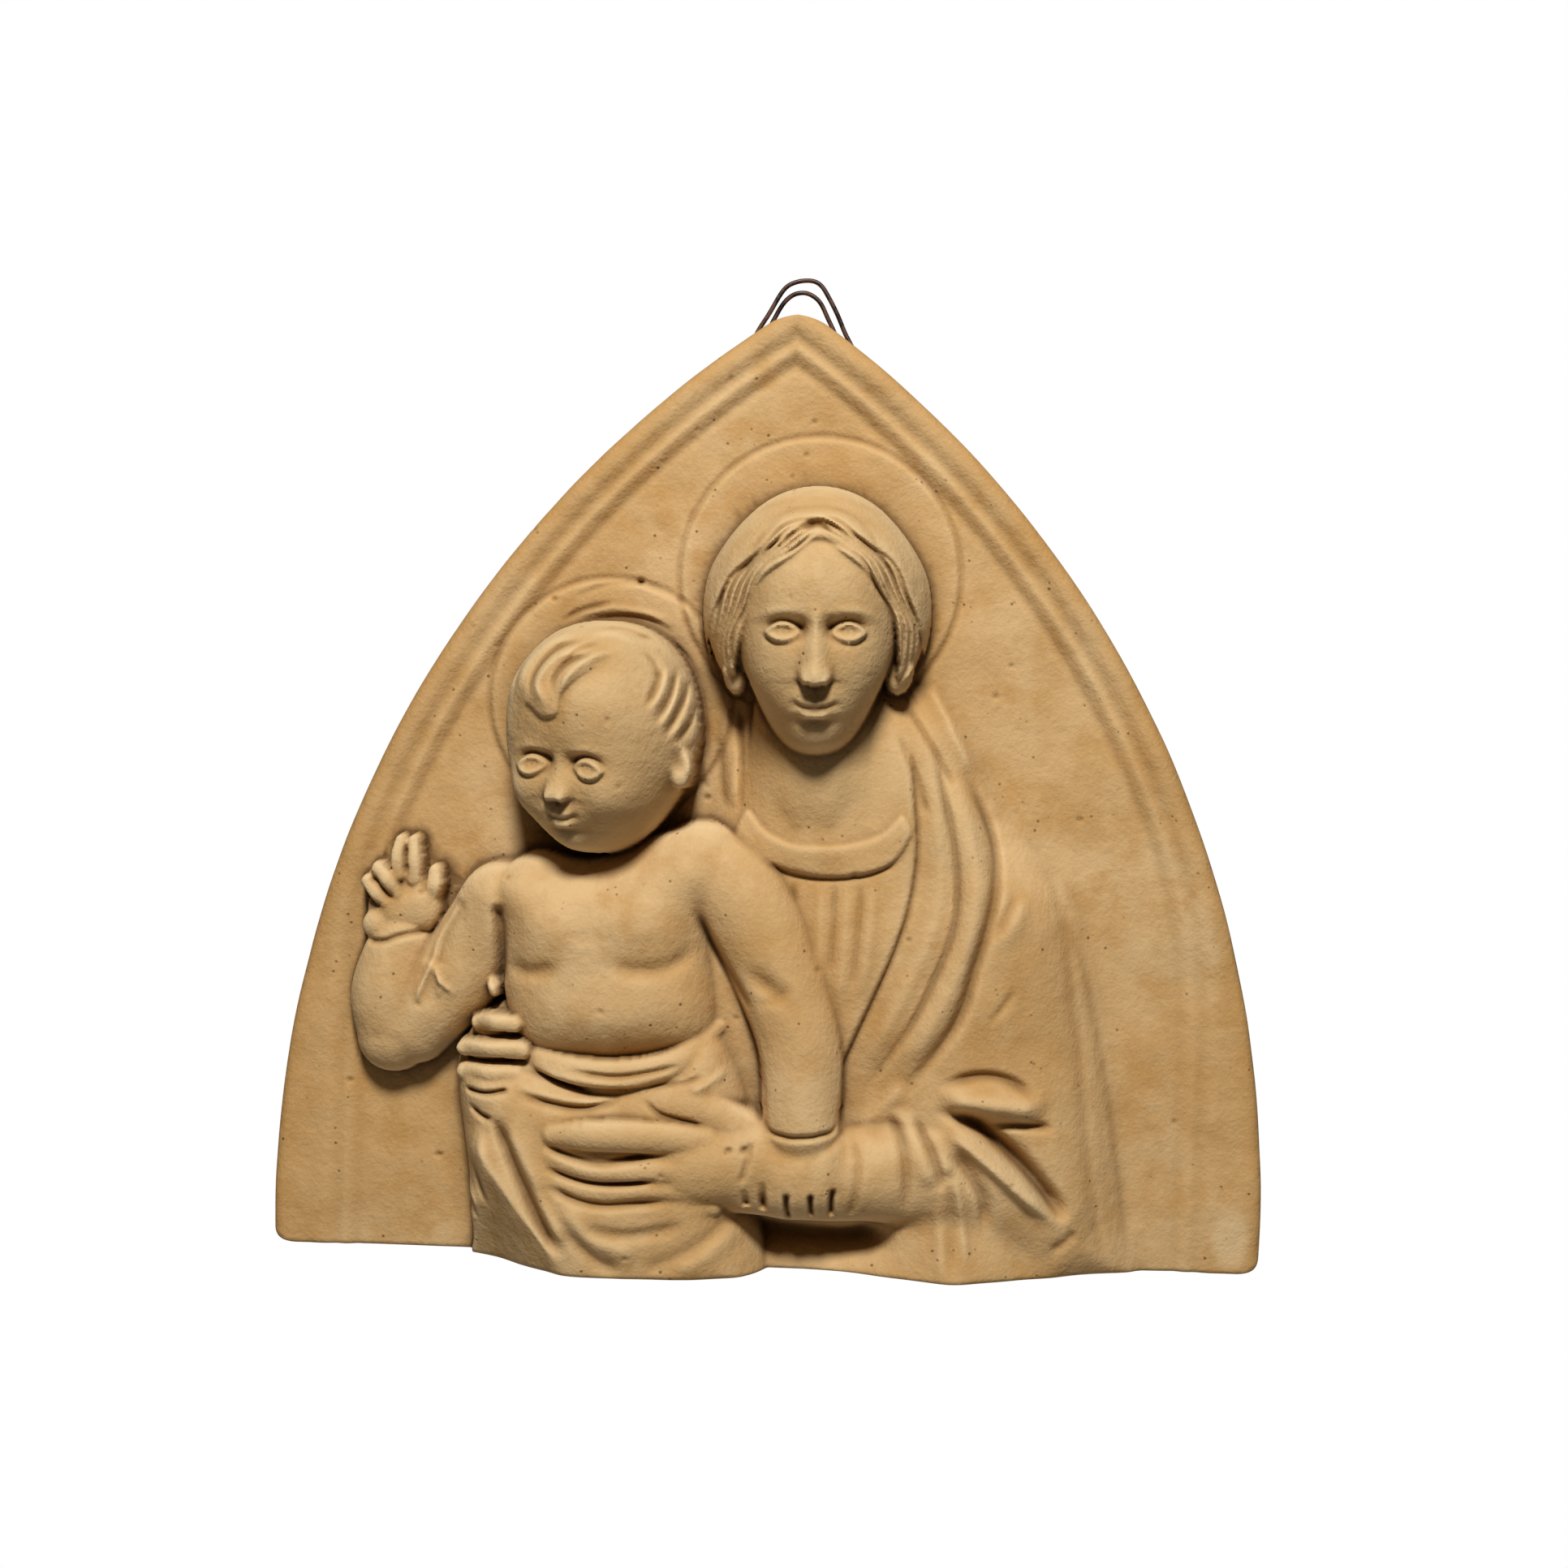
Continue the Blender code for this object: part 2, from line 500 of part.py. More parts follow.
def hips_and_cloth(c):
    """The child's hips in a wrapped cloth, whose end hangs down on the left."""
    c.slab(
        [(-92, 61), (-93, 51), (-89.5, 28.5), (-87.5, 4.5), (-86.5, -20), (-1.5, -17), (-3.5, 21.5),
            (-0.5, 41), (-14.5, 73.5), (-34.5, 64), (-54, 62), (-73, 65)],
        17.0, 41.5, 20.0, 2.0)
    c.bump((-46.5, 18), (24.0, 20.0), 4.5)


def gripping_fingers(c):
    """The mother's right hand, its fingers round the child's side."""
    c.slab([(-86, 73.5), (-77.5, 77), (-72, 65.5), (-72.5, 46), (-82, 42.5), (-90, 48), (-92, 62.5)],
        17.0, 33.0, 9.0, 1.5)
    for line, radius, height in (
        ([(-86, 71.5), (-80.5, 72.5), (-74.5, 72)], 2.6, 33.5),
        ([(-90, 64), (-82, 65), (-72, 64.5)], 2.8, 34.5),
        ([(-89.5, 57), (-82, 57.5), (-73.5, 57)], 2.9, 34.5),
        ([(-88, 49.5), (-84, 49.5), (-79, 48)], 2.6, 33.0),
    ):
        c.tube(line, [height - 5.0, height, height - 0.5], [0.9 * radius, radius, radius], 0.4)
    for line in (
        [(-89.5, 67.5), (-82, 67.5), (-74.5, 68)],
        [(-90, 61), (-82, 60.5), (-74, 61)],
        [(-89, 52.5), (-82, 52), (-74.5, 53.5)],
    ):
        c.mark(line, 0.7, -3.0, 0.15)
    c.mark([(-87.5, 48), (-83, 45.5), (-79, 44.5)], 0.9, -2.6, 0.3)
    c.ball((-81.5, 82), 28.5, (1.8, 3.2, 3.2), 12.0, 0.8)
    c.bump((-82.5, 77.5), (1.6, 1.4), -3.0)


def torso(c):
    """The child's chest and belly."""
    c.slab(
        [(-84.5, 113), (-71.5, 122.5), (-55, 120.5), (-36, 128), (-24.5, 131), (-11, 126.5),
            (-11, 112.5), (-17.5, 103), (-14.5, 75.5), (-19, 65.5), (-41.5, 60), (-60.5, 60),
            (-73, 64.5), (-78.5, 77), (-82, 103.5)],
        22.0, 38.5, 19.0, 2.0, 3.5)
    for spot, size, rise in (
        ((-64, 101.5), (13.0, 10.0), 3.2),
        ((-37, 103), (14.0, 10.0), 3.4),
        ((-45.5, 76.5), (25.0, 17.0), 4.8),
        ((-76.5, 111), (9.0, 8.0), 2.5),
        ((-20.5, 118), (10.0, 9.0), 2.0),
    ):
        c.bump(spot, size, rise)
    for width, rise, line in (
        (2.6, -1.7, [(-78, 91.5), (-72, 88), (-65.5, 88.5), (-58.5, 92)]),
        (2.6, -1.8, [(-49, 92.5), (-41, 90), (-31.5, 90), (-24.5, 94), (-21.5, 100.5)]),
        (4.0, -1.1, [(-55, 113), (-54, 102.5), (-53.5, 95)]),
        (4.4, -1.8, [(-70.5, 119.5), (-59, 117), (-42.5, 120), (-28.5, 126)]),
    ):
        c.mark(line, width, rise, 0.35)


def reaching_arm(c):
    """The child's left arm, down to the mother's wrist, with its fingers over it."""
    c.tube(
        [(-21, 119.5), (-8, 108.5), (2.5, 88.5), (9.5, 68.5), (10.5, 45.5)],
        [22.5, 25.5, 28.5, 32, 35], [13.6, 14.4, 13.6, 12.4, 11.4], 2.6)
    c.mark([(-23, 108.5), (-18, 99), (-13.5, 92), (-9, 85), (-3.5, 75)], 1.3, -2.4, 0.2)
    c.bump((0, 86), (6.5, 3.0), -2.4, -38)
    c.mark([(-7.5, 83), (-2, 81), (3.5, 83.5), (6.5, 88.5)], 1.6, -0.6, 0.35)
    c.mark([(-2, 67), (-0.5, 55), (0.5, 45.5), (6, 43.5), (11, 43.5), (16, 44), (21, 46), (21.5, 56)],
        0.9, -2.2, 0.12)
    # the back of the hand lies broad over the wrist, and short fingers end in dark slits
    c.slab([(-6.5, 41.5), (2, 43.5), (21, 44), (25.5, 39.5), (26, 25.5), (19, 18), (3, 17), (-5, 24)],
        30.0, 45.5, 12.0, 2.0)
    for line, width in (
        ([(-0.5, 30.5), (0, 25.5), (0.5, 20.5)], 0.85),
        ([(7, 27.5), (7, 23), (8, 17.5)], 0.7),
        ([(14, 27.5), (14, 23.5), (14.5, 19)], 0.6),
        ([(20.5, 29), (20, 24.5), (20, 19)], 0.65),
        ([(-5.5, 28), (-5, 25), (-4.5, 22)], 0.7),
    ):
        c.mark(line, width, -4.2, 0.2)


def blessing_arm(c):
    """The child's raised right arm, its web of clay and the blessing hand."""
    c.tube([(-81, 106), (-87.5, 95), (-96, 82), (-107, 68.5)], [22, 19, 18, 18],
        [13.0, 13.4, 13.4, 11.8], 1.5)
    c.tube([(-113, 65.5), (-114, 79), (-111.5, 93.5)], [17.5, 18, 18.5], [11.4, 12.3, 10.2], 1.2)
    c.mark([(-92, 109), (-96, 101), (-98.5, 94), (-100, 88)], 3.0, -2.0, 0.12)
    c.mark([(-91, 110), (-95, 102.5), (-98.5, 96), (-100, 89), (-103, 81.5), (-105, 76)], 0.9, 1.8, 0.2)
    c.mark([(-99.5, 88.5), (-97, 84), (-92.5, 79.5)], 0.8, 1.4, 0.3)
    c.mark([(-97.5, 85.5), (-97, 82), (-98, 78.5)], 0.8, 1.0, 0.3)
    c.bump((-99.5, 80.5), (3.0, 5.0), -1.2, 20)
    c.mark([(-80.5, 108), (-79.5, 99), (-79.5, 88), (-81, 82.5)], 1.6, -4.0, 0.15)
    # palm, heel and ball of the thumb
    c.ball((-110.5, 104), 18.5, (11.4, 10.2, 8.2), 0, 0.8)
    c.ball((-117.5, 99), 21.5, (5.4, 5.0, 5.0), 0, 1.0)
    c.ball((-105, 105), 21.5, (5.6, 8.4, 5.4), 0, 1.0)
    c.mark([(-121, 94), (-115, 94.5), (-109, 96.5), (-101.5, 97.5)], 0.9, -2.0, 0.15)
    # two raised fingers, the thumb and two folded fingers
    for line, heights, radius in (
        ([(-111.5, 114.5), (-112, 120), (-111.5, 124.5)], [24, 24.5, 23], 2.3),
        ([(-107, 113), (-107, 119), (-107.5, 124.5)], [24, 24.5, 23], 2.3),
        ([(-103, 106.5), (-101, 111), (-101, 115.5)], [22, 24.0, 23], 2.6),
        ([(-117.5, 116), (-114.5, 112.5), (-112, 108.5)], [25, 26.5, 25], 2.4),
        ([(-121, 112), (-118, 108.5), (-115.5, 106)], [23.5, 25.5, 25], 2.3),
    ):
        c.tube(line, heights, [radius, radius, 0.85 * radius], 0.8)
    for line, heights in (
        ([(-109.5, 112.5), (-109.5, 118), (-109.5, 123)], [23.0, 23.4, 21.5]),
        ([(-119.5, 114.5), (-116.5, 110.5), (-113.5, 107)], [23.0, 24.6, 24.0]),
    ):
        c.tube(line, heights, [1.5, 1.5, 1.1], 0.6)
    for line in (
        [(-119, 114.5), (-116, 110.5), (-112, 106.5)],
        [(-122.5, 110), (-119.5, 106.5), (-116, 104.5)],
        [(-109.5, 123), (-109.5, 119), (-109, 114)],
        [(-104, 113.5), (-104, 110.5), (-105, 108)],
    ):
        c.mark(line, 0.7, -1.3, 0.2)


def cloth_folds(c):
    """Bands of cloth round the hips and the folds of its hanging end."""
    c.tube([(-73, 64), (-60, 60), (-43, 59), (-27, 62.5), (-14.5, 72.5)], [29, 36.0, 37.5, 36, 28],
        [2.4, 4.0, 4.2, 4.0, 2.2], 1.5)
    for width, rise, line in (
        (0.9, -1.8, [(-59, 60), (-45, 58.5), (-34, 60), (-24, 62.5)]),
        (1.5, 1.2, [(-69.5, 61), (-60.5, 58), (-52, 56.5), (-41.5, 55.5), (-30, 57)]),
        (0.9, -2.2, [(-73.5, 59.5), (-64, 57), (-56.5, 54.5), (-49, 52.5), (-36.5, 53.5)]),
        (0.7, -1.2, [(-35.5, 54.5), (-30, 56), (-22.5, 57.5), (-17.5, 60)]),
        (1.6, 1.5, [(-74, 56), (-68, 54), (-60.5, 52), (-52, 51), (-42.5, 51.5)]),
        (1.1, -2.4, [(-72, 52.5), (-62.5, 50), (-55, 49), (-47.5, 50), (-40.5, 52.5)]),
        (1.2, 1.0, [(-22, 54.5), (-16, 57.5), (-11, 61)]),
    ):
        c.mark(line, width, rise, 0.22)
    for width, rise, lean, line in (
        (3.8, 5.2, -0.30, [(-85, 43), (-81.5, 33.5), (-77, 24.5), (-73, 18), (-68, 11.5), (-59, 0)]),
        (1.9, -4.6, 0.30, [(-79.5, 46.5), (-74.5, 35.5), (-70, 26), (-64.5, 15.5), (-58, 5)]),
        (1.7, 2.4, -0.30, [(-89, 25.5), (-85, 18), (-80, 12), (-75.5, 7), (-70.5, 2.5)]),
        (1.2, -2.6, 0.0, [(-86.5, 32), (-82, 21.5), (-77, 14.5), (-72.5, 8.5), (-67.5, 3.5)]),
        (1.4, 1.6, -0.20, [(-89, 16.5), (-84.5, 10.5), (-79.5, 6)]),
        (1.0, -1.6, 0.0, [(-88.5, 20.5), (-83.5, 12.5), (-78, 6.5)]),
        (3.0, 2.0, 0.0, [(-75.5, 45.5), (-70, 35.5), (-64.5, 26), (-60.5, 17.5), (-55.5, 9)]),
        (2.2, -1.6, 0.0, [(-66, 31), (-58.5, 17), (-49, 6.5), (-39.5, 2)]),
        (2.8, 1.3, 0.0, [(-58.5, 22), (-49, 12.5), (-34.5, 6.5)]),
        (2.2, -1.1, 0.0, [(-34.5, 3), (-20.5, 9), (-8, 19)]),
        (2.8, 1.0, 0.0, [(-25, 2.5), (-14.5, 8), (-4, 15.5)]),
    ):
        c.mark(line, width, rise, 0.18, 1.0, lean)


def spread_hand(c):
    """The mother's left hand across the cloth."""
    c.tube([(-3, 34.5), (-13, 33.5), (-23, 32.5), (-31.5, 31.5)], [33.0, 33.5, 34.0, 33.0],
        [12.2, 13.2, 12.6, 11.0], 2.0)
    c.tube([(-7.5, 42.5), (-17.5, 48.5), (-27, 51), (-34.5, 53)], [34, 36, 36.5, 35],
        [7.5, 6.0, 5.0, 3.6], 1.5)
    c.mark([(-35.5, 52.5), (-31, 48.5), (-25.5, 47), (-21, 46), (-15.5, 43.5)], 0.8, -1.8, 0.2)
    for line, heights, radii in (
        ([(-17, 40.5), (-35, 42), (-50, 42), (-61, 41.5)], [40, 43.2, 43.4, 41], [4.8, 4.8, 4.6, 3.6]),
        ([(-16.5, 33), (-34.5, 32), (-50, 32), (-62.5, 35.5)], [41, 43.4, 43, 40.5],
            [4.2, 3.6, 3.3, 2.8]),
        ([(-16.5, 27.5), (-34.5, 26.5), (-49.5, 26.5), (-60.5, 30)], [40, 42.2, 42.0, 39.5],
            [4.0, 3.5, 3.2, 2.6]),
        ([(-15, 21.5), (-32, 20), (-45, 19)], [38, 40.6, 39.5], [3.6, 3.1, 2.5]),
    ):
        c.tube(line, heights, radii, 1.0)
    for width, line in (
        (0.9, [(-63.5, 38.5), (-57.5, 36), (-48, 34), (-39.5, 35), (-31, 36.5)]),
        (0.8, [(-64, 32.5), (-56.5, 29.5), (-47.5, 28), (-38, 28.5), (-29.5, 30)]),
        (1.2, [(-62.5, 27), (-55, 23.5), (-46.5, 22), (-38, 22.5), (-26, 23.5)]),
    ):
        c.mark(line, width, -2.6, 0.2)
    c.mark([(-3.5, 42), (-4.5, 36), (-6.5, 29)], 0.9, -1.3, 0.2)
    c.bump((-5.5, 39), (1.0, 1.0), -2.4)
    c.mark([(-52.5, 16), (-44, 13.5), (-32.5, 14), (-20.5, 17)], 2.0, -1.6, 0.25)


def ear(c, centre, height, size, turn, side):
    """An ear from the front: a shell with a rolled rim round its hollow."""
    (cx, cz), (a, b) = centre, size
    c.ball(centre, height, (a, b, 1.1 * a), turn, 2.2)
    c.bump((cx + 0.05 * side * a, cz + 0.1 * b), (0.36 * a, 0.44 * b), -0.55 * a, turn)
    rim = [(-0.4, 0.7), (0.1, 0.9), (0.6, 0.6), (0.78, 0.0), (0.5, -0.5)]
    c.mark([(cx + side * a * p, cz + b * q) for p, q in rim], 0.24 * a, 0.22 * a, 0.2)


def mother_head(c):
    """Head, ears, parted hair and the veil over the crown."""
    head(c, (11, 189.5), 25.0, 74.0, 0.0, -3.0, -1.0, False, 1.0)
    ear(c, (-13, 176.5), 27.0, (3.4, 6.0), 10.0, -1.0)
    ear(c, (36, 178), 27.0, (4.0, 6.2), -10.0, 1.0)
    opening = [(10.5, 220.5), (19.5, 217), (26, 213), (32.5, 207), (37, 199.5), (40.5, 191.5),
        (43, 183), (40.5, 171), (29.5, 140.5), (-5, 139.5), (-16.5, 169), (-20.5, 183), (-20, 191.5),
        (-14.5, 202.5), (-8.5, 208.5), (0.5, 214.5)]
    brow_line = [(11, 214.5), (19.5, 209.5), (26.5, 204), (31.5, 196.5), (34, 188.5), (34.5, 175),
        (29, 157.5), (12.5, 146.5), (-5.5, 156.5), (-12, 174), (-10.5, 186.5), (-8.5, 194.5),
        (-5, 202.5), (3.5, 209)]
    crown = (11, 196)
    # hair: a rounded band between the forehead and the veil, tucked behind the ears
    part, x, z, d = c.depth_in(brow_line, 14.0)
    u, v = (x - crown[0]) / 33.0, (z - crown[1]) / 34.5
    inner = 1.0 - u * u - v * v
    held = smooth_step((z - 175.0 + 0.25 * np.abs(x - crown[0]) - 4.0) / 5.0)
    over = (inner > 0) & (d < 0) & (held > 0)
    top = np.where(over, 14.0 + 7.0 * held + 28.5 * np.sqrt(np.maximum(inner, 0)), NO_CLAY)
    c.h[part] = smooth_max(c.h[part], top, 0.8) + np.where(over, 2.8 * held * dome(-d / 2.6), 0.0)
    # wavy locks run from the parting down to each ear
    outer = np.array([(11, 221.5), (19.5, 218.5), (27, 213), (33.5, 206.5), (38.5, 198.5), (41, 190),
        (41, 179)])
    under = np.array([(11, 216.5), (18.5, 211.5), (25, 206.5), (29.5, 200), (32.5, 192.5), (34.5, 185),
        (35.5, 177.5)])
    for k in range(9):
        line = curve(outer + (under - outer) * (k + 0.5) / 9.0, 4)
        for side in (-1.0, 1.0):
            wave = 0.8 * np.sin(0.62 * np.arange(len(line)) + 0.4 * k + side)
            across = crown[0] + side * (line[:, 0] - crown[0] + 0.7 * wave)
            c.mark(np.c_[across, line[:, 1] + 0.7 * wave], 0.62, 1.2 if k % 2 else -2.1, 0.08)
    # veil
    part, x, z, d = c.depth_in(opening, 16.0)
    u, v = (x - crown[0]) / (34.0 - 2.0 * smooth_step((z - crown[1] - 8.0) / 20.0)), (z - crown[1]) / 37.0
    inner = 1.0 - u * u - v * v
    held = smooth_step((z - 169.5) / 7.0)
    over = (inner > 0) & (d < 0) & (held > 0)
    top = np.where(over, 13.5 + 8.0 * held + 31.0 * np.sqrt(np.maximum(inner, 0)), NO_CLAY)
    raised = np.maximum(smooth_max(c.h[part], top, 0.4), c.h[part] + 2.2 * held * dome(-d / 1.2))
    c.h[part] = np.where(over, raised, c.h[part])
    c.mark([(5.5, 217), (11, 219), (16.5, 216.5)], 1.0, -3.0, 0.35)
    for side, line in (
        (1.0, [(13.5, 223.5), (23.5, 219), (32.5, 211), (39.5, 200.5)]),
        (-1.0, [(8, 223), (-2.5, 219), (-11, 211.5), (-17.5, 202.5)]),
    ):
        c.mark(line, 1.6, 0.7, 0.3)


def child_head(c):
    """Head, ear, forelock and short tousled hair."""
    head(c, (-50.5, 157), 26.0, 69.0, 22.0, -8.0, 3.0, True, 1.0)
    centre = (-49.5, 159)
    face = [(-72.5, 155.5), (-71, 165.5), (-66, 162), (-61, 163), (-59, 170), (-49, 177), (-39, 174),
        (-35.5, 165), (-31.5, 155.5), (-29.5, 144), (-32, 132), (-43.5, 121.5), (-60, 121),
        (-71.5, 130.5), (-75, 144.5)]
    part, x, z, d = c.depth_in(face, 30.0)
    cap = np.hypot((x - centre[0]) / 30.0, (z - centre[1]) / 36.0) < 1.0
    over = cap & (z > centre[1] - 14.0) & (c.h[part] > 24.0) & (d < 0)
    # the hair's edge is crisp at the forelock and soft at the temples
    temple = np.maximum(smooth_step((x - centre[0] + 6.0) / 8.0),
        smooth_step((centre[0] - 20.0 - x) / 4.0))
    rise = (1.0 - temple) * dome(-d / 2.2) + temple * smooth_step(-d / 9.0)
    c.h[part] += np.where(over, 1.7 * rise, 0.0)
    ear(c, (-27.5, 149), 38.5, (4.0, 6.6), 8.0, 1.0)
    for rise, width, line in (
        # forelock and the locks beside it
        (1.9, 1.5, [(-53, 182.5), (-58.5, 181), (-63.5, 178), (-67, 172.5), (-66, 168), (-63, 163.5)]),
        (-1.9, 0.8, [(-50.5, 180.5), (-57.5, 178.5), (-62, 174), (-63, 168.5)]),
        (1.6, 1.3, [(-43, 182), (-50.5, 180), (-56, 176.5), (-59, 172.5), (-60, 167.5)]),
        (-1.8, 0.8, [(-54, 185), (-62.5, 182), (-68.5, 175), (-70, 167)]),
        (1.4, 1.4, [(-56.5, 187), (-65.5, 183.5), (-72, 176), (-73.5, 166)]),
        (-1.6, 0.8, [(-58, 188.5), (-68, 185), (-74, 177), (-76, 167)]),
        (1.1, 1.2, [(-62, 188.5), (-71.5, 184), (-76, 175.5), (-77.5, 163.5)]),
        (-1.3, 0.7, [(-68, 187), (-74.5, 180.5), (-78.5, 170.5)]),
        (-1.2, 0.7, [(-49.5, 184), (-55.5, 182), (-59, 178)]),
        # short locks that sweep down over the temple to the ear
        (-1.8, 0.8, [(-33, 177.5), (-34, 172), (-36.5, 165.5)]),
        (1.4, 1.1, [(-31, 179), (-31.5, 172), (-35.5, 163)]),
        (-2.0, 0.8, [(-29, 178), (-30, 169.5), (-34, 160.5)]),
        (1.4, 1.1, [(-27.5, 177.5), (-28.5, 168.5), (-33, 158)]),
        (-2.0, 0.8, [(-25.5, 176), (-27, 167), (-32, 156)]),
        (1.4, 1.1, [(-24.5, 173), (-25.5, 164), (-30.5, 155)]),
        (-2.0, 0.8, [(-23, 170), (-24.5, 162.5), (-28.5, 155)]),
        (1.2, 1.1, [(-22, 166), (-23, 159.5), (-26, 154)]),
        (-1.2, 0.8, [(-38.5, 182), (-34.5, 178), (-34, 173.5)]),
        (1.0, 1.2, [(-39.5, 185.5), (-31, 182), (-27, 176.5)]),
        (-1.5, 0.8, [(-43, 187), (-33, 185.5), (-25.5, 179)]),
        (-1.5, 0.8, [(-52.5, 188.5), (-43, 188.5), (-34, 184)]),
        (1.1, 1.2, [(-55.5, 186), (-46, 186.5), (-37, 182.5)]),
        (-1.4, 0.8, [(-60.5, 191), (-51, 193), (-40, 192.5), (-30, 187.5)]),
        (0.9, 1.1, [(-64, 192.5), (-52.5, 195.5), (-41, 194.5), (-30.5, 190.5)]),
        (-1.3, 0.8, [(-67, 191), (-59.5, 195), (-49.5, 197.5)]),
    ):
        c.mark(line, width, rise, 0.3)


def carve(step):
    """The whole relief, from the ground up."""
    c = Clay(step)
    for part in (
        border, haloes, mantle, neck_and_collar, veil_falls, sleeve, hips_and_cloth, gripping_fingers, torso,
        reaching_arm, blessing_arm, cloth_folds, spread_hand, mother_head, child_head, trim_foot,
    ):
        part(c)
    return c


def half_width(z):
    """Half the plaque's width at each height of the drawing."""
    z = np.asarray(z, float)
    middle = ARC_Z + math.sqrt((ARC - TIP_ROUND) ** 2 - (ARC - WIDTH / 2) ** 2)
    arc = np.sqrt(np.maximum(ARC ** 2 - (z - ARC_Z) ** 2, 0.0)) - (ARC - WIDTH / 2)
    tip = np.sqrt(np.maximum(TIP_ROUND ** 2 - (z - middle) ** 2, 0.0))
    joint = ARC_Z + (middle - ARC_Z) * ARC / (ARC - TIP_ROUND)
    half = np.where(z > joint, tip, arc)
    return half - quarter_round(z, CORNER_ROUND * WIDTH / PLAQUE_WIDTH)


def row_heights(step):
    """Heights of the mesh rows: close together round the foot corners and at the tip."""
    corner = CORNER_ROUND * WIDTH / PLAQUE_WIDTH
    low = corner * (1.0 - np.cos(np.linspace(0.0, math.pi / 2, max(int(1.6 * corner / step), 4))))
    top = TALL - TIP_BAND * (1.0 - np.sin(np.linspace(0.0, math.pi / 2, max(int(1.3 * TIP_BAND / step), 6))))
    middle = np.linspace(low[-1], top[0], int((top[0] - low[-1]) / step) + 1)
    return np.concatenate([low[:-1], middle, top[1:]])


def plaque_mesh(clay, step):
    """The front from the carved raster, a flat back, and the rim between them."""
    rows = row_heights(step)
    half = half_width(rows)
    half[-1] = 0.0
    count = int(WIDTH / step) + 1
    share = np.linspace(-1.0, 1.0, count)
    x = half[:, None] * share[None, :]
    z = np.repeat(rows[:, None], count, axis=1)
    h = clay.sample(x + tip_lean(z), z)
    # round the front edge all along the arch, and a little along the foot
    inset = np.minimum(ARC - np.hypot(np.abs(x) + ARC - WIDTH / 2, z - ARC_Z), half[:, None] - np.abs(x))
    h -= quarter_round(inset, EDGE_ROUND * WIDTH / PLAQUE_WIDTH)
    h -= quarter_round(z, FOOT_ROUND * WIDTH / PLAQUE_WIDTH)
    sx, sz = PLAQUE_WIDTH / WIDTH, PLAQUE_HEIGHT / TALL
    depth = PLATE_THICKNESS * np.minimum(h, FIELD) / FIELD
    depth += RELIEF_DEPTH * np.maximum(h - FIELD, 0.0) / RELIEF
    front = np.stack([(x + tip_lean(z)) * sx, -depth, z * sz], axis=-1)
    ends = front[:, [0, -1]].reshape(-1, 3)
    back = ends * np.array([1.0, 0.0, 1.0])
    front = front.reshape(-1, 3)
    n = len(rows)
    base = n * count
    faces = []
    for j in range(n - 1):
        a = j * count
        faces += [(a + i, a + i + 1, a + count + i + 1, a + count + i) for i in range(count - 1)]
        left, right = base + 2 * j, base + 2 * j + 1
        faces.append((right, left, left + 2, right + 2))
        faces.append((left, a, a + count, left + 2))
        faces.append((a + count - 1, right, right + 2, a + 2 * count - 1))
    faces.append(tuple([base] + [base + 1] + list(range(count - 1, -1, -1))))
    return np.vstack([front, back]), faces


def mesh_object(name, points, faces):
    data = bpy.data.meshes.new(name)
    data.from_pydata([tuple(p) for p in points], [], faces)
    obj = bpy.data.objects.new(name, data)
    bpy.context.scene.collection.objects.link(obj)
    tidy = bmesh.new()
    tidy.from_mesh(data)
    bmesh.ops.remove_doubles(tidy, verts=tidy.verts, dist=1e-6)
    bmesh.ops.dissolve_degenerate(tidy, edges=tidy.edges, dist=1e-7)
    bmesh.ops.triangulate(tidy, faces=tidy.faces)
    bmesh.ops.recalc_face_normals(tidy, faces=tidy.faces)
    tidy.to_mesh(data)
    tidy.free()
    return obj


def settle(obj):
    """Bakes the object's modifiers into its mesh."""
    graph = bpy.context.evaluated_depsgraph_get()
    made = bpy.data.meshes.new_from_object(obj.evaluated_get(graph))
    obj.modifiers.clear()
    old = obj.data
    obj.data = made
    bpy.data.meshes.remove(old)


def thin_out(obj, wanted):
    """Fewer triangles, with the back kept flat on the wall and the foot flat."""
    have = sum(len(p.vertices) - 2 for p in obj.data.polygons)
    fewer = obj.modifiers.new("fewer", "DECIMATE")
    fewer.ratio = min(1.0, wanted / have)
    settle(obj)
    for v in obj.data.vertices:
        if v.co.y > -FLAT_WITHIN:
            v.co.y = 0.0
        if v.co.z < FLAT_WITHIN / 2:
            v.co.z = 0.0


def wire_path():
    """Middle line of the wire: the outer strand, a turn in the right socket and the inner strand."""
    tip = (tip_lean(TALL) * PLAQUE_WIDTH / WIDTH, PLAQUE_HEIGHT)
    sx, sz = WIRE_SPAN / WIRE_DRAWN_SPAN, WIRE_RISE / WIRE_DRAWN_RISE
    out, back = -OUTER_STRAND_DEPTH, -INNER_STRAND_DEPTH
    outer = [(-14.4, -12.6), (-13.0, -5.2), (-8.9, 2.0), (-4.7, 9.2), (-1.0, 11.6), (3.6, 12.1),
             (6.6, 10.7), (9.0, 7.2), (11.8, 2.0), (14.2, -3.4), (16.8, -8.4)]
    turn = [(17.4, -12.6), (15.2, -15.0), (12.8, -12.2)]
    inner = [(11.7, -4.7), (8.8, 1.6), (6.6, 5.9), (4.2, 8.1), (1.5, 9.0), (-1.7, 8.4),
             (-4.6, 5.9), (-7.2, 1.4), (-9.4, -3.5), (-10.6, -10.4)]
    rows = [(x, z, out) for x, z in outer]
    rows += [(x, z, out + (back - out) * (i + 1) / 4) for i, (x, z) in enumerate(turn)]
    rows += [(x, z, back) for x, z in inner]
    line = curve(rows, 4)
    return np.stack([tip[0] + line[:, 0] * sx, line[:, 2], tip[1] + line[:, 1] * sz], axis=-1)


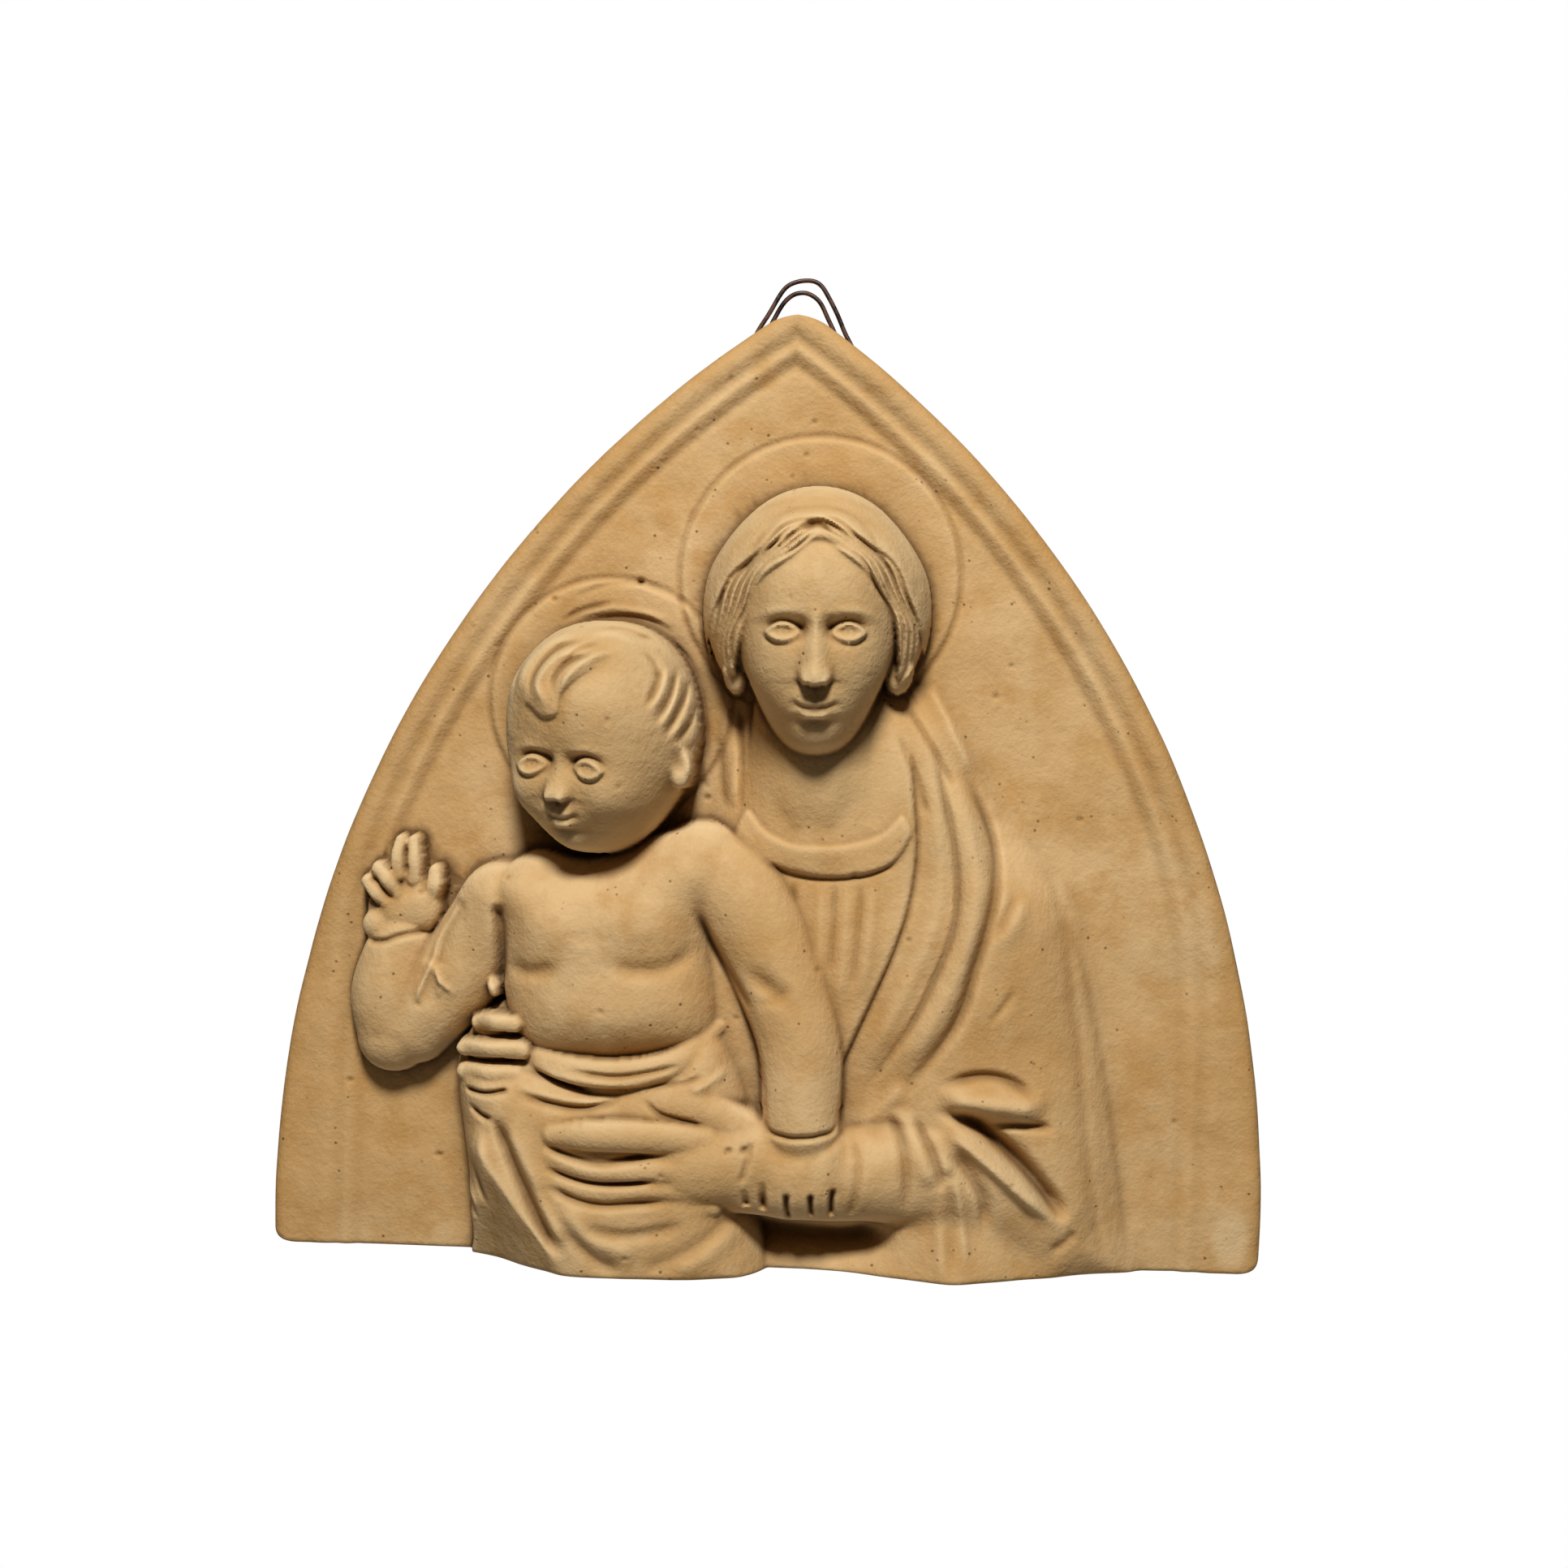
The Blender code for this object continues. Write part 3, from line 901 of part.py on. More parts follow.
def round_bar(name, line, radius, sides, extend=0.0):
    """A closed round bar swept along the line, its section carried without twist."""
    pts = [Vector(p) for p in line]
    if extend:
        pts[0] = pts[0] + (pts[0] - pts[1]).normalized() * extend
        pts[-1] = pts[-1] + (pts[-1] - pts[-2]).normalized() * extend
    verts, faces = [], []
    across = Vector((0.0, 1.0, 0.0))
    for i, p in enumerate(pts):
        run = (pts[min(i + 1, len(pts) - 1)] - pts[max(i - 1, 0)]).normalized()
        across = (across - run * across.dot(run)).normalized()
        up = run.cross(across)
        for k in range(sides):
            a = 2 * math.pi * k / sides
            verts.append(p + across * radius * math.cos(a) + up * radius * math.sin(a))
    for i in range(len(pts) - 1):
        for k in range(sides):
            a, b = i * sides + k, i * sides + (k + 1) % sides
            faces.append((a, b, b + sides, a + sides))
    faces.append(tuple(range(sides))[::-1])
    faces.append(tuple((len(pts) - 1) * sides + k for k in range(sides)))
    return mesh_object(name, verts, faces)


def material(name, colour, roughness, metallic=0.0):
    made = bpy.data.materials.new(name)
    made.use_nodes = True
    shader = made.node_tree.nodes["Principled BSDF"]
    shader.inputs["Base Color"].default_value = (*colour, 1.0)
    shader.inputs["Roughness"].default_value = roughness
    shader.inputs["Metallic"].default_value = metallic
    return made


def build():
    for obj in list(bpy.data.objects):
        bpy.data.objects.remove(obj)
    clay = carve(RASTER_STEP * 1000.0)
    points, faces = plaque_mesh(clay, MESH_STEP * 1000.0)
    plaque = mesh_object("plaque", points, faces)
    thin_out(plaque, PLAQUE_TRIANGLES)

    line = wire_path()
    wire = round_bar("hanging_wire", line, WIRE_DIAMETER / 2, WIRE_SIDES)
    channel = round_bar("wire_channel", line, WIRE_DIAMETER / 2 + WIRE_CLEARANCE, WIRE_SIDES, WIRE_CLEARANCE)
    cut = plaque.modifiers.new("channel", "BOOLEAN")
    cut.operation = "DIFFERENCE"
    cut.solver = "EXACT"
    cut.object = channel
    settle(plaque)
    bpy.data.objects.remove(channel)

    # the nail carries the inner strand, so the nail's middle is the origin
    inside = line[len(line) // 2:]
    crown = inside[int(np.argmax(inside[:, 2]))]
    nail = Vector((crown[0], 0.0, crown[2] - (WIRE_DIAMETER + NAIL_DIAMETER) / 2))
    plaque.location = -nail
    wire.location = -nail
    plaque.data.materials.clear()
    plaque.data.materials.append(material("terracotta", (0.60, 0.40, 0.20), 0.9))
    wire.data.materials.append(material("iron_wire", (0.10, 0.07, 0.06), 0.6, 0.8))


build()
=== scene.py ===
"""Decorative wall plaque in buff terracotta: the relief, its bent wire hanger and a plain studio."""

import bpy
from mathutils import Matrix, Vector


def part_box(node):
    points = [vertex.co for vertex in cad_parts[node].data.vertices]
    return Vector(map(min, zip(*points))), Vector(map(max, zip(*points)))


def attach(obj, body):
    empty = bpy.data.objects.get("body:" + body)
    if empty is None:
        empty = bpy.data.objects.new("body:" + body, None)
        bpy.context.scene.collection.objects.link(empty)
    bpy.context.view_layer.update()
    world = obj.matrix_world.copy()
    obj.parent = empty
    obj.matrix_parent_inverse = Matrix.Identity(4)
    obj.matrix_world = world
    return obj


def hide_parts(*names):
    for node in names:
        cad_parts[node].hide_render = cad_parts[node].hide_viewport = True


bl_info = {
    "name": "Terracotta Wall Plaque",
    "version": (1, 0, 0),
    "blender": (4, 5, 0),
    "location": "3D View > Sidebar > Plaque",
    "description": "Models the fired clay relief, the wire hanger and the studio round them",
    "category": "Add Mesh",
}

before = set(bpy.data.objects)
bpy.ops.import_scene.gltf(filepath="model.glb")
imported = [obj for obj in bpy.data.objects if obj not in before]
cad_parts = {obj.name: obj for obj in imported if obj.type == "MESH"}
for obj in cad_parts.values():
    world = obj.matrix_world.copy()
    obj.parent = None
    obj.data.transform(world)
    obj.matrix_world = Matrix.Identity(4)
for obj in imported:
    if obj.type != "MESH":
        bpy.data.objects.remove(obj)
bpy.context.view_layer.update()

import math

import bmesh
import bpy
import numpy as np
from bpy.props import FloatProperty, FloatVectorProperty, IntProperty, PointerProperty
from mathutils import Matrix, Vector

FOOT, PEAK = (Vector(corner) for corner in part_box("plaque"))
PLAQUE_WIDTH = PEAK.x - FOOT.x
PLAQUE_HEIGHT = PEAK.z - FOOT.z
CENTRE_LINE = (PEAK.x + FOOT.x) / 2
KEY_FROM = (0.0, -0.73, 0.71)
BACK_FROM = (-0.12, 1.0, 0.02)
FLOOR_BEHIND = 0.24
# The camera's aim, to the right of the centre line and above the foot.
AIM_ASIDE = 0.002
AIM_HEIGHT = 0.1438
LAMP_COLOUR = (1.0, 0.98, 0.95)
FILL_COLOUR = (1.0, 0.85, 0.6)
BACKDROP = (1.0, 1.0, 1.0)

# Wear, in the drawing's millimetres: how much sharpness is lost, the lengths of the ground's
# waves, and the larger pits as (place, width, depth).
SOFTEN = 0.25
ROLLING = (46.0, 27.0, 15.0)
PITS = (
    ((-42.5, 204.0), 1.1, 1.6), ((-68.5, 198.0), 0.9, 1.2), ((-20.5, 139.5), 1.0, 1.2),
    ((-99.5, 28.5), 0.9, 1.2), ((-77.5, 115.0), 0.8, 1.0), ((8.5, 253.0), 0.8, 0.9),
    ((91.5, 136.0), 0.8, 0.9), ((69.5, 181.5), 0.7, 0.8), ((-119.0, 112.5), 0.8, 0.9),
    ((-10.0, 39.0), 1.0, 1.6), ((-9.5, 75.0), 0.8, 0.8), ((40.5, 100.0), 0.7, 0.8),
    ((-127.0, 50.5), 0.9, 0.9))
# Pale smudges, as (place, half width and half height, share).
SMUDGES = (
    ((140.5, 11.0), (5.5, 8.5), 0.8), ((64.0, 20.0), (8.0, 14.0), 0.25),
    ((26.0, 150.0), (14.0, 22.0), 0.2))
# Blurs that bring out slits, folds and whole forms, for the dirt with painted shade in the hollows and the
# rubbing with painted highlight on the heights.
SLIT_BLUR = 1.1
FOLD_BLUR = 4.0
FORM_BLUR = 9.0

# The relief is carved on a drawing of the plaque at this size, in millimetres,
# and then stretched to the frame's own size.
WIDTH = 300.0
TALL = 284.5
ARC = 326.0
ARC_Z = 13.5
TIP_ROUND = 17.0
TIP_LEAN = 2.7
FIELD = 15.0
RELIEF = 46.0
TIP_BAND = 9.0
NO_CLAY = -50.0
# How far the clay stands out along the foot: (place across, height above the back)
FOOT_LINE = (
    (-91, 18.5), (-80, 24.0), (-71, 32.0), (-63, 38.0), (-55, 44.0), (-41, 47.0), (-20, 42.0),
    (-6, 38.5), (15, 40.5), (50, 40.5), (65, 35.0), (80, 30.0), (95, 22.0), (108, 18.5))


def quarter_round(distance, radius):
    """How far a rounded edge has fallen back at this distance from it."""
    near = radius - np.clip(distance, 0.0, radius)
    return radius - np.sqrt(radius ** 2 - near ** 2)


def tip_lean(z):
    """How far the hand-made arch leans over at this height."""
    return TIP_LEAN * (np.asarray(z, float) / TALL) ** 2


def smooth_max(a, b, k):
    """The larger of the two, with the crease between them rounded over k."""
    t = np.clip(0.5 + 0.5 * (b - a) / k, 0.0, 1.0)
    return a + (b - a) * t + k * t * (1.0 - t)


def smooth_step(t):
    """S-shaped rise from 0 at t = 0 to 1 at t = 1."""
    t = np.clip(t, 0.0, 1.0)
    return t * t * (3.0 - 2.0 * t)


def dome(t):
    """Quarter-round rise from 0 at t = 0 to 1 at t = 1."""
    t = np.clip(t, 0.0, 1.0)
    return np.sqrt(1.0 - (1.0 - t) ** 2)


def bell(t):
    """1 at t = 0, falling away on both sides."""
    return np.exp(-t * t)


def curve(points, per=7, closed=False):
    """Catmull-Rom curve through the points, any number of columns."""
    p = np.asarray(points, float)
    if len(p) < 3 and not closed:
        t = np.linspace(0.0, 1.0, per + 1)[:, None]
        return p[0] * (1 - t) + p[1] * t
    if closed:
        q = np.vstack([p[-1:], p, p[:2]])
    else:
        q = np.vstack([2 * p[:1] - p[1:2], p, 2 * p[-1:] - p[-2:-1]])
    t = (np.arange(per) / per)[:, None]
    out = []
    for i in range(1, len(q) - 2):
        a, b, c, d = q[i - 1], q[i], q[i + 1], q[i + 2]
        second = 2 * a - 5 * b + 4 * c - d
        third = 3 * b - a - 3 * c + d
        out.append(0.5 * (2 * b + (c - a) * t + second * t ** 2 + third * t ** 3))
    if not closed:
        out.append(q[-2:-1])
    return np.vstack(out)


class Clay:
    """A raster of heights above the back plane, in design millimetres."""

    def __init__(self, step):
        self.step = step
        self.x0 = -WIDTH / 2 - 4.0
        self.z0 = -4.0
        nx = int(round((WIDTH + 8.0) / step)) + 1
        nz = int(round((TALL + 10.0) / step)) + 1
        self.x = self.x0 + step * np.arange(nx)
        self.z = self.z0 + step * np.arange(nz)
        self.h = np.full((nz, nx), FIELD)

    def window(self, x_min, x_max, z_min, z_max):
        """A part of the raster, with the places of its points."""
        i0 = max(int((x_min - self.x0) / self.step), 0)
        i1 = min(int((x_max - self.x0) / self.step) + 2, len(self.x))
        j0 = max(int((z_min - self.z0) / self.step), 0)
        j1 = min(int((z_max - self.z0) / self.step) + 2, len(self.z))
        part = (slice(j0, j1), slice(i0, i1))
        x, z = np.meshgrid(self.x[i0:i1], self.z[j0:j1])
        return part, x, z

    def around(self, points, margin):
        """The part of the raster within this margin of the points."""
        low, high = np.min(points, axis=0) - margin, np.max(points, axis=0) + margin
        return self.window(low[0], high[0], low[1], high[1])

    def near(self, line, x, z):
        """Distance to the line, how far along it, and the side, positive on the left of its run."""
        best = np.full(x.shape, 1e9)
        along = np.zeros(x.shape)
        side = np.zeros(x.shape)
        n = len(line) - 1
        for i in range(n):
            ax, az = line[i][:2]
            bx, bz = line[i + 1][:2]
            ux, uz = bx - ax, bz - az
            length = ux * ux + uz * uz + 1e-12
            t = np.clip(((x - ax) * ux + (z - az) * uz) / length, 0.0, 1.0)
            dx, dz = x - ax - t * ux, z - az - t * uz
            d = dx * dx + dz * dz
            m = d < best
            best = np.where(m, d, best)
            along = np.where(m, (i + t) / n, along)
            side = np.where(m, ux * dz - uz * dx, side)
        return np.sqrt(best), along, np.sign(side)

    def mark(self, points, width, rise, ends=0.25, sharp=1.0, lean=0.0):
        """A soft ridge (rise over 0) or groove (under 0) along a curve, fading out over its ends."""
        line = curve(points)
        part, x, z = self.around(line, 3.0 * width)
        d, t, side = self.near(line, x, z)
        w = width * np.where(side > 0, 1.0 + lean, 1.0 - lean)
        fade = smooth_step(t / ends) * smooth_step((1.0 - t) / ends) if ends else 1.0
        self.h[part] += rise * fade * np.exp(-np.abs(d / w) ** (2.0 * sharp))

    def step_edge(self, points, width, rise, reach, ends=0.2):
        """The side on the left of the run stands higher by rise, and falls back over reach."""
        line = curve(points)
        part, x, z = self.around(line, reach)
        d, t, side = self.near(line, x, z)
        fade = smooth_step(t / ends) * smooth_step((1.0 - t) / ends) if ends else 1.0
        left = dome(d / width) * (1.0 - smooth_step((d - width) / max(reach - width, 1e-6)))
        self.h[part] += rise * fade * np.where(side > 0, left, -0.35 * bell(d / (0.6 * width)))

    def tube(self, points, heights, radii, blend=1.5, flat=1.0, per=10):
        """A round limb: points with the height of its axis and its radius at each."""
        line = curve(np.c_[np.asarray(points, float), heights, radii], per)
        part, x, z = self.around(line, np.max(radii) + 2 * blend)
        d, t, _ = self.near(line, x, z)
        share = np.linspace(0.0, 1.0, len(line))
        axis, r = np.interp(t, share, line[:, 2]), np.interp(t, share, line[:, 3])
        top = np.where(d < r, axis + flat * np.sqrt(np.maximum(r * r - d * d, 0.0)), NO_CLAY)
        self.h[part] = smooth_max(self.h[part], top, blend)

    def ball(self, centre, height, size, turn=0.0, blend=1.5):
        """An ellipsoid: size is (half width, half height, half depth), height that of its middle."""
        (cx, cz), (a, b, c) = centre, size
        r = max(a, b)
        part, x, z = self.window(cx - r, cx + r, cz - r, cz + r)
        ca, sa = np.cos(np.radians(turn)), np.sin(np.radians(turn))
        u = ((x - cx) * ca + (z - cz) * sa) / a
        v = (-(x - cx) * sa + (z - cz) * ca) / b
        inside = 1.0 - u * u - v * v
        top = np.where(inside > 0, height + c * np.sqrt(np.maximum(inside, 0)), NO_CLAY)
        self.h[part] = smooth_max(self.h[part], top, blend)

    def bump(self, centre, size, rise, turn=0.0):
        """A soft swelling or hollow added to what is there."""
        (cx, cz), (a, b) = centre, size
        r = 2.6 * max(a, b)
        part, x, z = self.window(cx - r, cx + r, cz - r, cz + r)
        ca, sa = np.cos(np.radians(turn)), np.sin(np.radians(turn))
        u = ((x - cx) * ca + (z - cz) * sa) / a
        v = (-(x - cx) * sa + (z - cz) * ca) / b
        self.h[part] += rise * np.exp(-u * u - v * v)

    def inside(self, outline, x, z):
        """Which points lie within a closed outline."""
        odd = np.zeros(x.shape, bool)
        n = len(outline)
        for i in range(n):
            ax, az = outline[i]
            bx, bz = outline[(i + 1) % n]
            if az == bz:
                continue
            crosses = (az > z) != (bz > z)
            odd ^= crosses & (x < (bx - ax) * (z - az) / (bz - az) + ax)
        return odd

    def depth_in(self, outline, margin=2.0, rounded=True):
        """Distance inwards from a closed outline, negative outside, over its window."""
        line = curve(outline, 5, closed=True) if rounded else np.asarray(outline, float)
        part, x, z = self.around(line, margin)
        d, _, _ = self.near(np.vstack([line, line[:1]]), x, z)
        return part, x, z, np.where(self.inside(line, x, z), d, -d)

    def slab(self, outline, low, high, round_off, blend=1.0, soft=2.0, sloped=False):
        """A mass with the given outline, rising from low at its edge to high over round_off."""
        part, x, z, d = self.depth_in(outline, 6.0)
        t = np.where(d > 0, self.blur(soft, d), d) / round_off
        t = np.clip(np.maximum(t, 0.12 * d / round_off), 0.0, 1.0)
        rise = np.sin(0.5 * np.pi * t) if sloped else dome(t)
        top = np.where(d > 0, low + (high - low) * rise, NO_CLAY)
        self.h[part] = smooth_max(self.h[part], top, blend)

    def sample(self, x, z, field=None):
        """The height, or another field's value, at any points of the drawing."""
        i = np.clip((x - self.x0) / self.step, 0, len(self.x) - 1.001)
        j = np.clip((z - self.z0) / self.step, 0, len(self.z) - 1.001)
        a, b = i.astype(int), j.astype(int)
        u, v = i - a, j - b
        h = self.h if field is None else field
        low = h[b, a] * (1 - u) + h[b, a + 1] * u
        high = h[b + 1, a] * (1 - u) + h[b + 1, a + 1] * u
        return low * (1 - v) + high * v

    def blur(self, radius, field=None):
        """The heights, or another field, softened over this radius."""
        a = self.h if field is None else field
        n = max(int(3 * radius / self.step), 1)
        k = np.exp(-0.5 * (np.arange(-n, n + 1) * self.step / radius) ** 2)
        k /= k.sum()
        for axis in (0, 1):
            pad = [(n, n) if i == axis else (0, 0) for i in (0, 1)]
            b = np.pad(a, pad, mode="edge")
            out = np.zeros_like(a)
            for i, w in enumerate(k):
                out += w * (b[i:i + a.shape[0], :] if axis == 0 else b[:, i:i + a.shape[1]])
            a = out
        return a


def face_radius(dx, dy, dz, child):
    """Distance from the head's middle to its surface, in head heights, by the usual shares of a face."""
    wide, deep, tall, taper = (0.400, 0.43, 0.5, 0.16) if child else (0.335, 0.42, 0.5, 0.24)
    w = wide * (1.0 - taper * smooth_step(-dz / 0.95))
    p = 2.25
    r = (np.abs(dx / w) ** p + np.abs(dy / deep) ** p + np.abs(dz / tall) ** p) ** (-1.0 / p)
    a, c = dx * r, dz * r
    s = np.abs(a)
    if child:
        eye, brow, base, mouth, chin = -0.085, -0.005, -0.205, -0.288, -0.405
        gap, half, open_, lip_w, socket = 0.134, 0.064, 0.027, 0.064, 0.036
        nose_low, nose_high, wing, cheek = 0.0, 0.034, 0.034, 0.046
    else:
        eye, brow, base, mouth, chin = 0.0, 0.080, -0.180, -0.278, -0.410
        gap, half, open_, lip_w, socket = 0.132, 0.065, 0.026, 0.082, 0.048
        nose_low, nose_high, wing, cheek = 0.018, 0.066, 0.042, 0.022
    add = -0.030 * bell(a / 0.26) * bell((c + 0.10) / 0.20)
    # eye hollows, deepest beside the nose, under a crisp brow
    add -= socket * bell((s - 0.108) / 0.080) * bell((c - eye - 0.016) / 0.050)
    add -= 0.5 * socket * bell((s - 0.064) / 0.030) * bell((c - eye - 0.018) / 0.040)
    arc = brow - 1.6 * (s - 0.12) ** 2
    add += 0.30 * socket * smooth_step(s / 0.06) * bell((s - 0.13) / 0.09) * bell((c - arc) / 0.022)
    # eyeball, lids, and the ring of the iris
    ex = (s - gap) / half
    lens = np.clip(1.0 - ex * ex, 0.0, 1.0)
    add += 0.034 * np.sqrt(np.clip(1.0 - ex * ex - ((c - eye) / 0.046) ** 2, 0.0, 1.0))
    on = smooth_step((1.18 - np.abs(ex)) / 0.30)
    upper, lower = eye + 1.25 * open_ * lens, eye - 0.85 * open_ * lens
    add += 0.015 * on * bell((c - upper) / 0.0105)
    add -= 0.013 * on * bell((c - upper - 0.024) / 0.0105)
    add += 0.010 * on * bell((c - lower) / 0.0100)
    add -= 0.006 * on * bell((c - lower + 0.020) / 0.0110)
    round_ = np.hypot(s - gap, c - eye - 0.003)
    add -= 0.0090 * bell((round_ - 0.0205) / 0.0070) + 0.013 * bell(round_ / 0.0085)
    # nose: a ridge that widens downwards, a round tip, wings and nostrils
    t = np.clip((brow - 0.015 - c) / (brow - 0.015 - base), 0.0, 1.2)
    under = 1.0 - smooth_step((base + 0.008 - c) / 0.026)
    ridge = (nose_low + (nose_high - nose_low) * t ** 1.4) * smooth_step((brow + 0.05 - c) / 0.09)
    add += under * ridge * bell(a / (0.034 + 0.016 * t))
    add += under * 0.018 * t * bell(a / 0.085)
    add += under * 0.030 * bell(a / 0.038) * bell((c - base - 0.032) / 0.032)
    add += under * 0.030 * bell((s - wing) / 0.019) * bell((c - base - 0.022) / 0.024)
    add -= 0.022 * bell((s - 0.5 * wing) / 0.014) * bell((c - base + 0.004) / 0.011)
    add -= 0.008 * bell((s - wing - 0.026) / 0.014) * bell((c - base - 0.010) / 0.030)
    # mouth: the swell behind it, two lips, the parting line, its corners and the hollow below
    add += 0.026 * bell(a / 0.11) * bell((c - mouth) / 0.065)
    bow = mouth + 0.020 - 0.007 * bell(a / 0.012) - 0.9 * a * a
    add += 0.016 * smooth_step((1.0 - s / lip_w) / 0.6) * bell((c - bow) / 0.0165)
    add += 0.022 * smooth_step((0.90 - s / lip_w) / 0.6) * bell((c - mouth + 0.024) / 0.0200)
    add -= 0.017 * smooth_step((1.10 - s / lip_w) / 0.5) * bell((c - mouth - 0.04 * s) / 0.0105)
    add -= 0.010 * bell((s - lip_w) / 0.018) * bell((c - mouth - 0.003) / 0.016)
    add -= 0.007 * bell(a / 0.012) * bell((c - mouth - 0.058) / 0.020)
    add -= 0.018 * bell(a / 0.075) * bell((c - mouth + 0.062) / 0.022)
    # chin, cheeks and forehead
    add += 0.030 * bell(a / 0.085) * bell((c - chin) / 0.055)
    add += cheek * bell((s - 0.19) / 0.10) * bell((c - base - 0.010) / 0.11)
    add += (0.022 if child else 0.008) * bell(a / 0.30) * bell((c - 0.2) / 0.16)
    return r + add * smooth_step((dy + 0.1) / 0.5)


def head(clay, centre, height, tall, yaw, pitch, roll, child, blend=1.0):
    """Finds the height of a turned head over each raster point by stepping down onto it."""
    cx, cz = centre
    reach = 0.56 * tall
    part, x, z = clay.window(cx - reach, cx + reach, cz - reach, cz + reach)
    a, b, c = np.radians([yaw, pitch, roll])
    turn = np.array([[np.cos(a), -np.sin(a), 0], [np.sin(a), np.cos(a), 0], [0, 0, 1]])
    nod = np.array([[1, 0, 0], [0, np.cos(b), -np.sin(b)], [0, np.sin(b), np.cos(b)]])
    lean = np.array([[np.cos(c), 0, np.sin(c)], [0, 1, 0], [-np.sin(c), 0, np.cos(c)]])
    m = lean @ turn @ nod
    near = np.hypot(x - cx, z - cz) < reach
    u, v = (x[near] - cx) / tall, (z[near] - cz) / tall

    def outside(level):
        p = [m[0, i] * u + m[1, i] * level + m[2, i] * v for i in range(3)]
        n = np.sqrt(p[0] ** 2 + p[1] ** 2 + p[2] ** 2) + 1e-9
        return n > face_radius(p[0] / n, p[1] / n, p[2] / n, child)

    low = np.full(u.shape, 0.60)
    found = np.zeros(u.shape, bool)
    stride = 0.014
    for _ in range(42):
        found |= ~outside(low)
        low = np.where(found, low, low - stride)
    high = low + stride
    for _ in range(7):
        middle = 0.5 * (low + high)
        out = outside(middle)
        high, low = np.where(out, middle, high), np.where(out, low, middle)
    top = np.full(x.shape, NO_CLAY)
    top[near] = np.where(found, height + low * tall, NO_CLAY)
    clay.h[part] = smooth_max(clay.h[part], top, blend)


def arch_inset(x, z):
    """Distance inwards from the arch's outline."""
    off = np.abs(x - tip_lean(z))
    return ARC - np.hypot(off + ARC - WIDTH / 2, z - ARC_Z), off


def border(c):
    """A roll, a soft groove and an inner fillet all round the arch, fading towards the foot."""
    x, z = np.meshgrid(c.x, c.z)
    inset, off = arch_inset(x, z)
    # near the foot the mouldings run straight down
    upright = WIDTH / 2 - 10.7 - off
    run = inset - 4.0 * np.log1p(np.exp((inset - upright) / 4.0))
    fade = 0.42 + 0.58 * smooth_step((z - 60.0) / 110.0)
    c.h += fade * 2.3 * (1.0 - smooth_step((run - 10.5) / 4.6))
    c.h += fade * (0.7 * bell((run - 4.4) / 3.2) - 1.1 * bell((run - 8.6) / 2.4))
    c.h -= fade * 0.35 * bell((run - 15.4) / 1.4)


def haloes(c):
    """A thin raised disc behind each head."""
    x, z = np.meshgrid(c.x, c.z)
    for (hx, hz), radius in (((11.5, 206.5), 41.5), ((-50.5, 168), 36.0)):
        d = np.hypot(x - hx, z - hz)
        c.h += 0.8 * smooth_step((radius - d) / 2.4 + 0.5) * (0.35 + 0.65 * (d / radius) ** 2)
        c.h -= 0.7 * bell((d - radius - 1.0) / 0.9)
    c.mark([(-64, 198), (-53, 202.5), (-42, 203), (-32, 199)], 0.9, -0.6)


def mantle(c):
    """The mother's body under her mantle, with its outer fall."""
    c.slab(
        [(-12.5, 160), (-25, 123.5), (-74, 61.5), (-92.5, 43.5), (-88.5, 2.5), (-86.5, -86),
            (114.5, -78.5), (109.5, 19), (102, 69.5), (90.5, 112), (68, 138), (52.5, 169),
            (9.5, 184.5)],
        14.4, 26.0, 22.0, 1.5, 3.0, True)
    for spot, size, rise in (
        ((19.5, 91.5), (34.0, 40.0), 5.5),
        ((60.5, 78), (30.0, 45.0), 6.0),
        ((59.5, 33), (34.0, 22.0), 4.5),
        ((76.5, 107.5), (14.0, 18.0), 2.0),
        ((79, 18.5), (16.0, 24.0), 3.0),
    ):
        c.bump(spot, size, rise)
    c.mark([(103.5, -3.5), (97.5, 23), (92.5, 66.5), (85.5, 110.5), (77.5, 124)], 2.2, -0.9, 0.2)
    c.mark([(110, -2.5), (108, 18), (102, 54.5), (94, 90.5), (84, 115.5)], 1.8, -0.9, 0.25)
    # creases of the shoulder and the upper arm
    c.mark([(73, 116), (68.5, 107), (63.5, 99)], 1.6, -1.3, 0.35)
    c.mark([(75.5, 115.5), (71.5, 106), (66, 96)], 2.6, 1.0, 0.35)
    c.mark([(72.5, 87.5), (69, 81.5), (64, 75)], 1.2, -0.9, 0.4)
    c.mark([(68.5, 138.5), (74, 128.5), (77, 119.5)], 3.5, 0.8, 0.4)


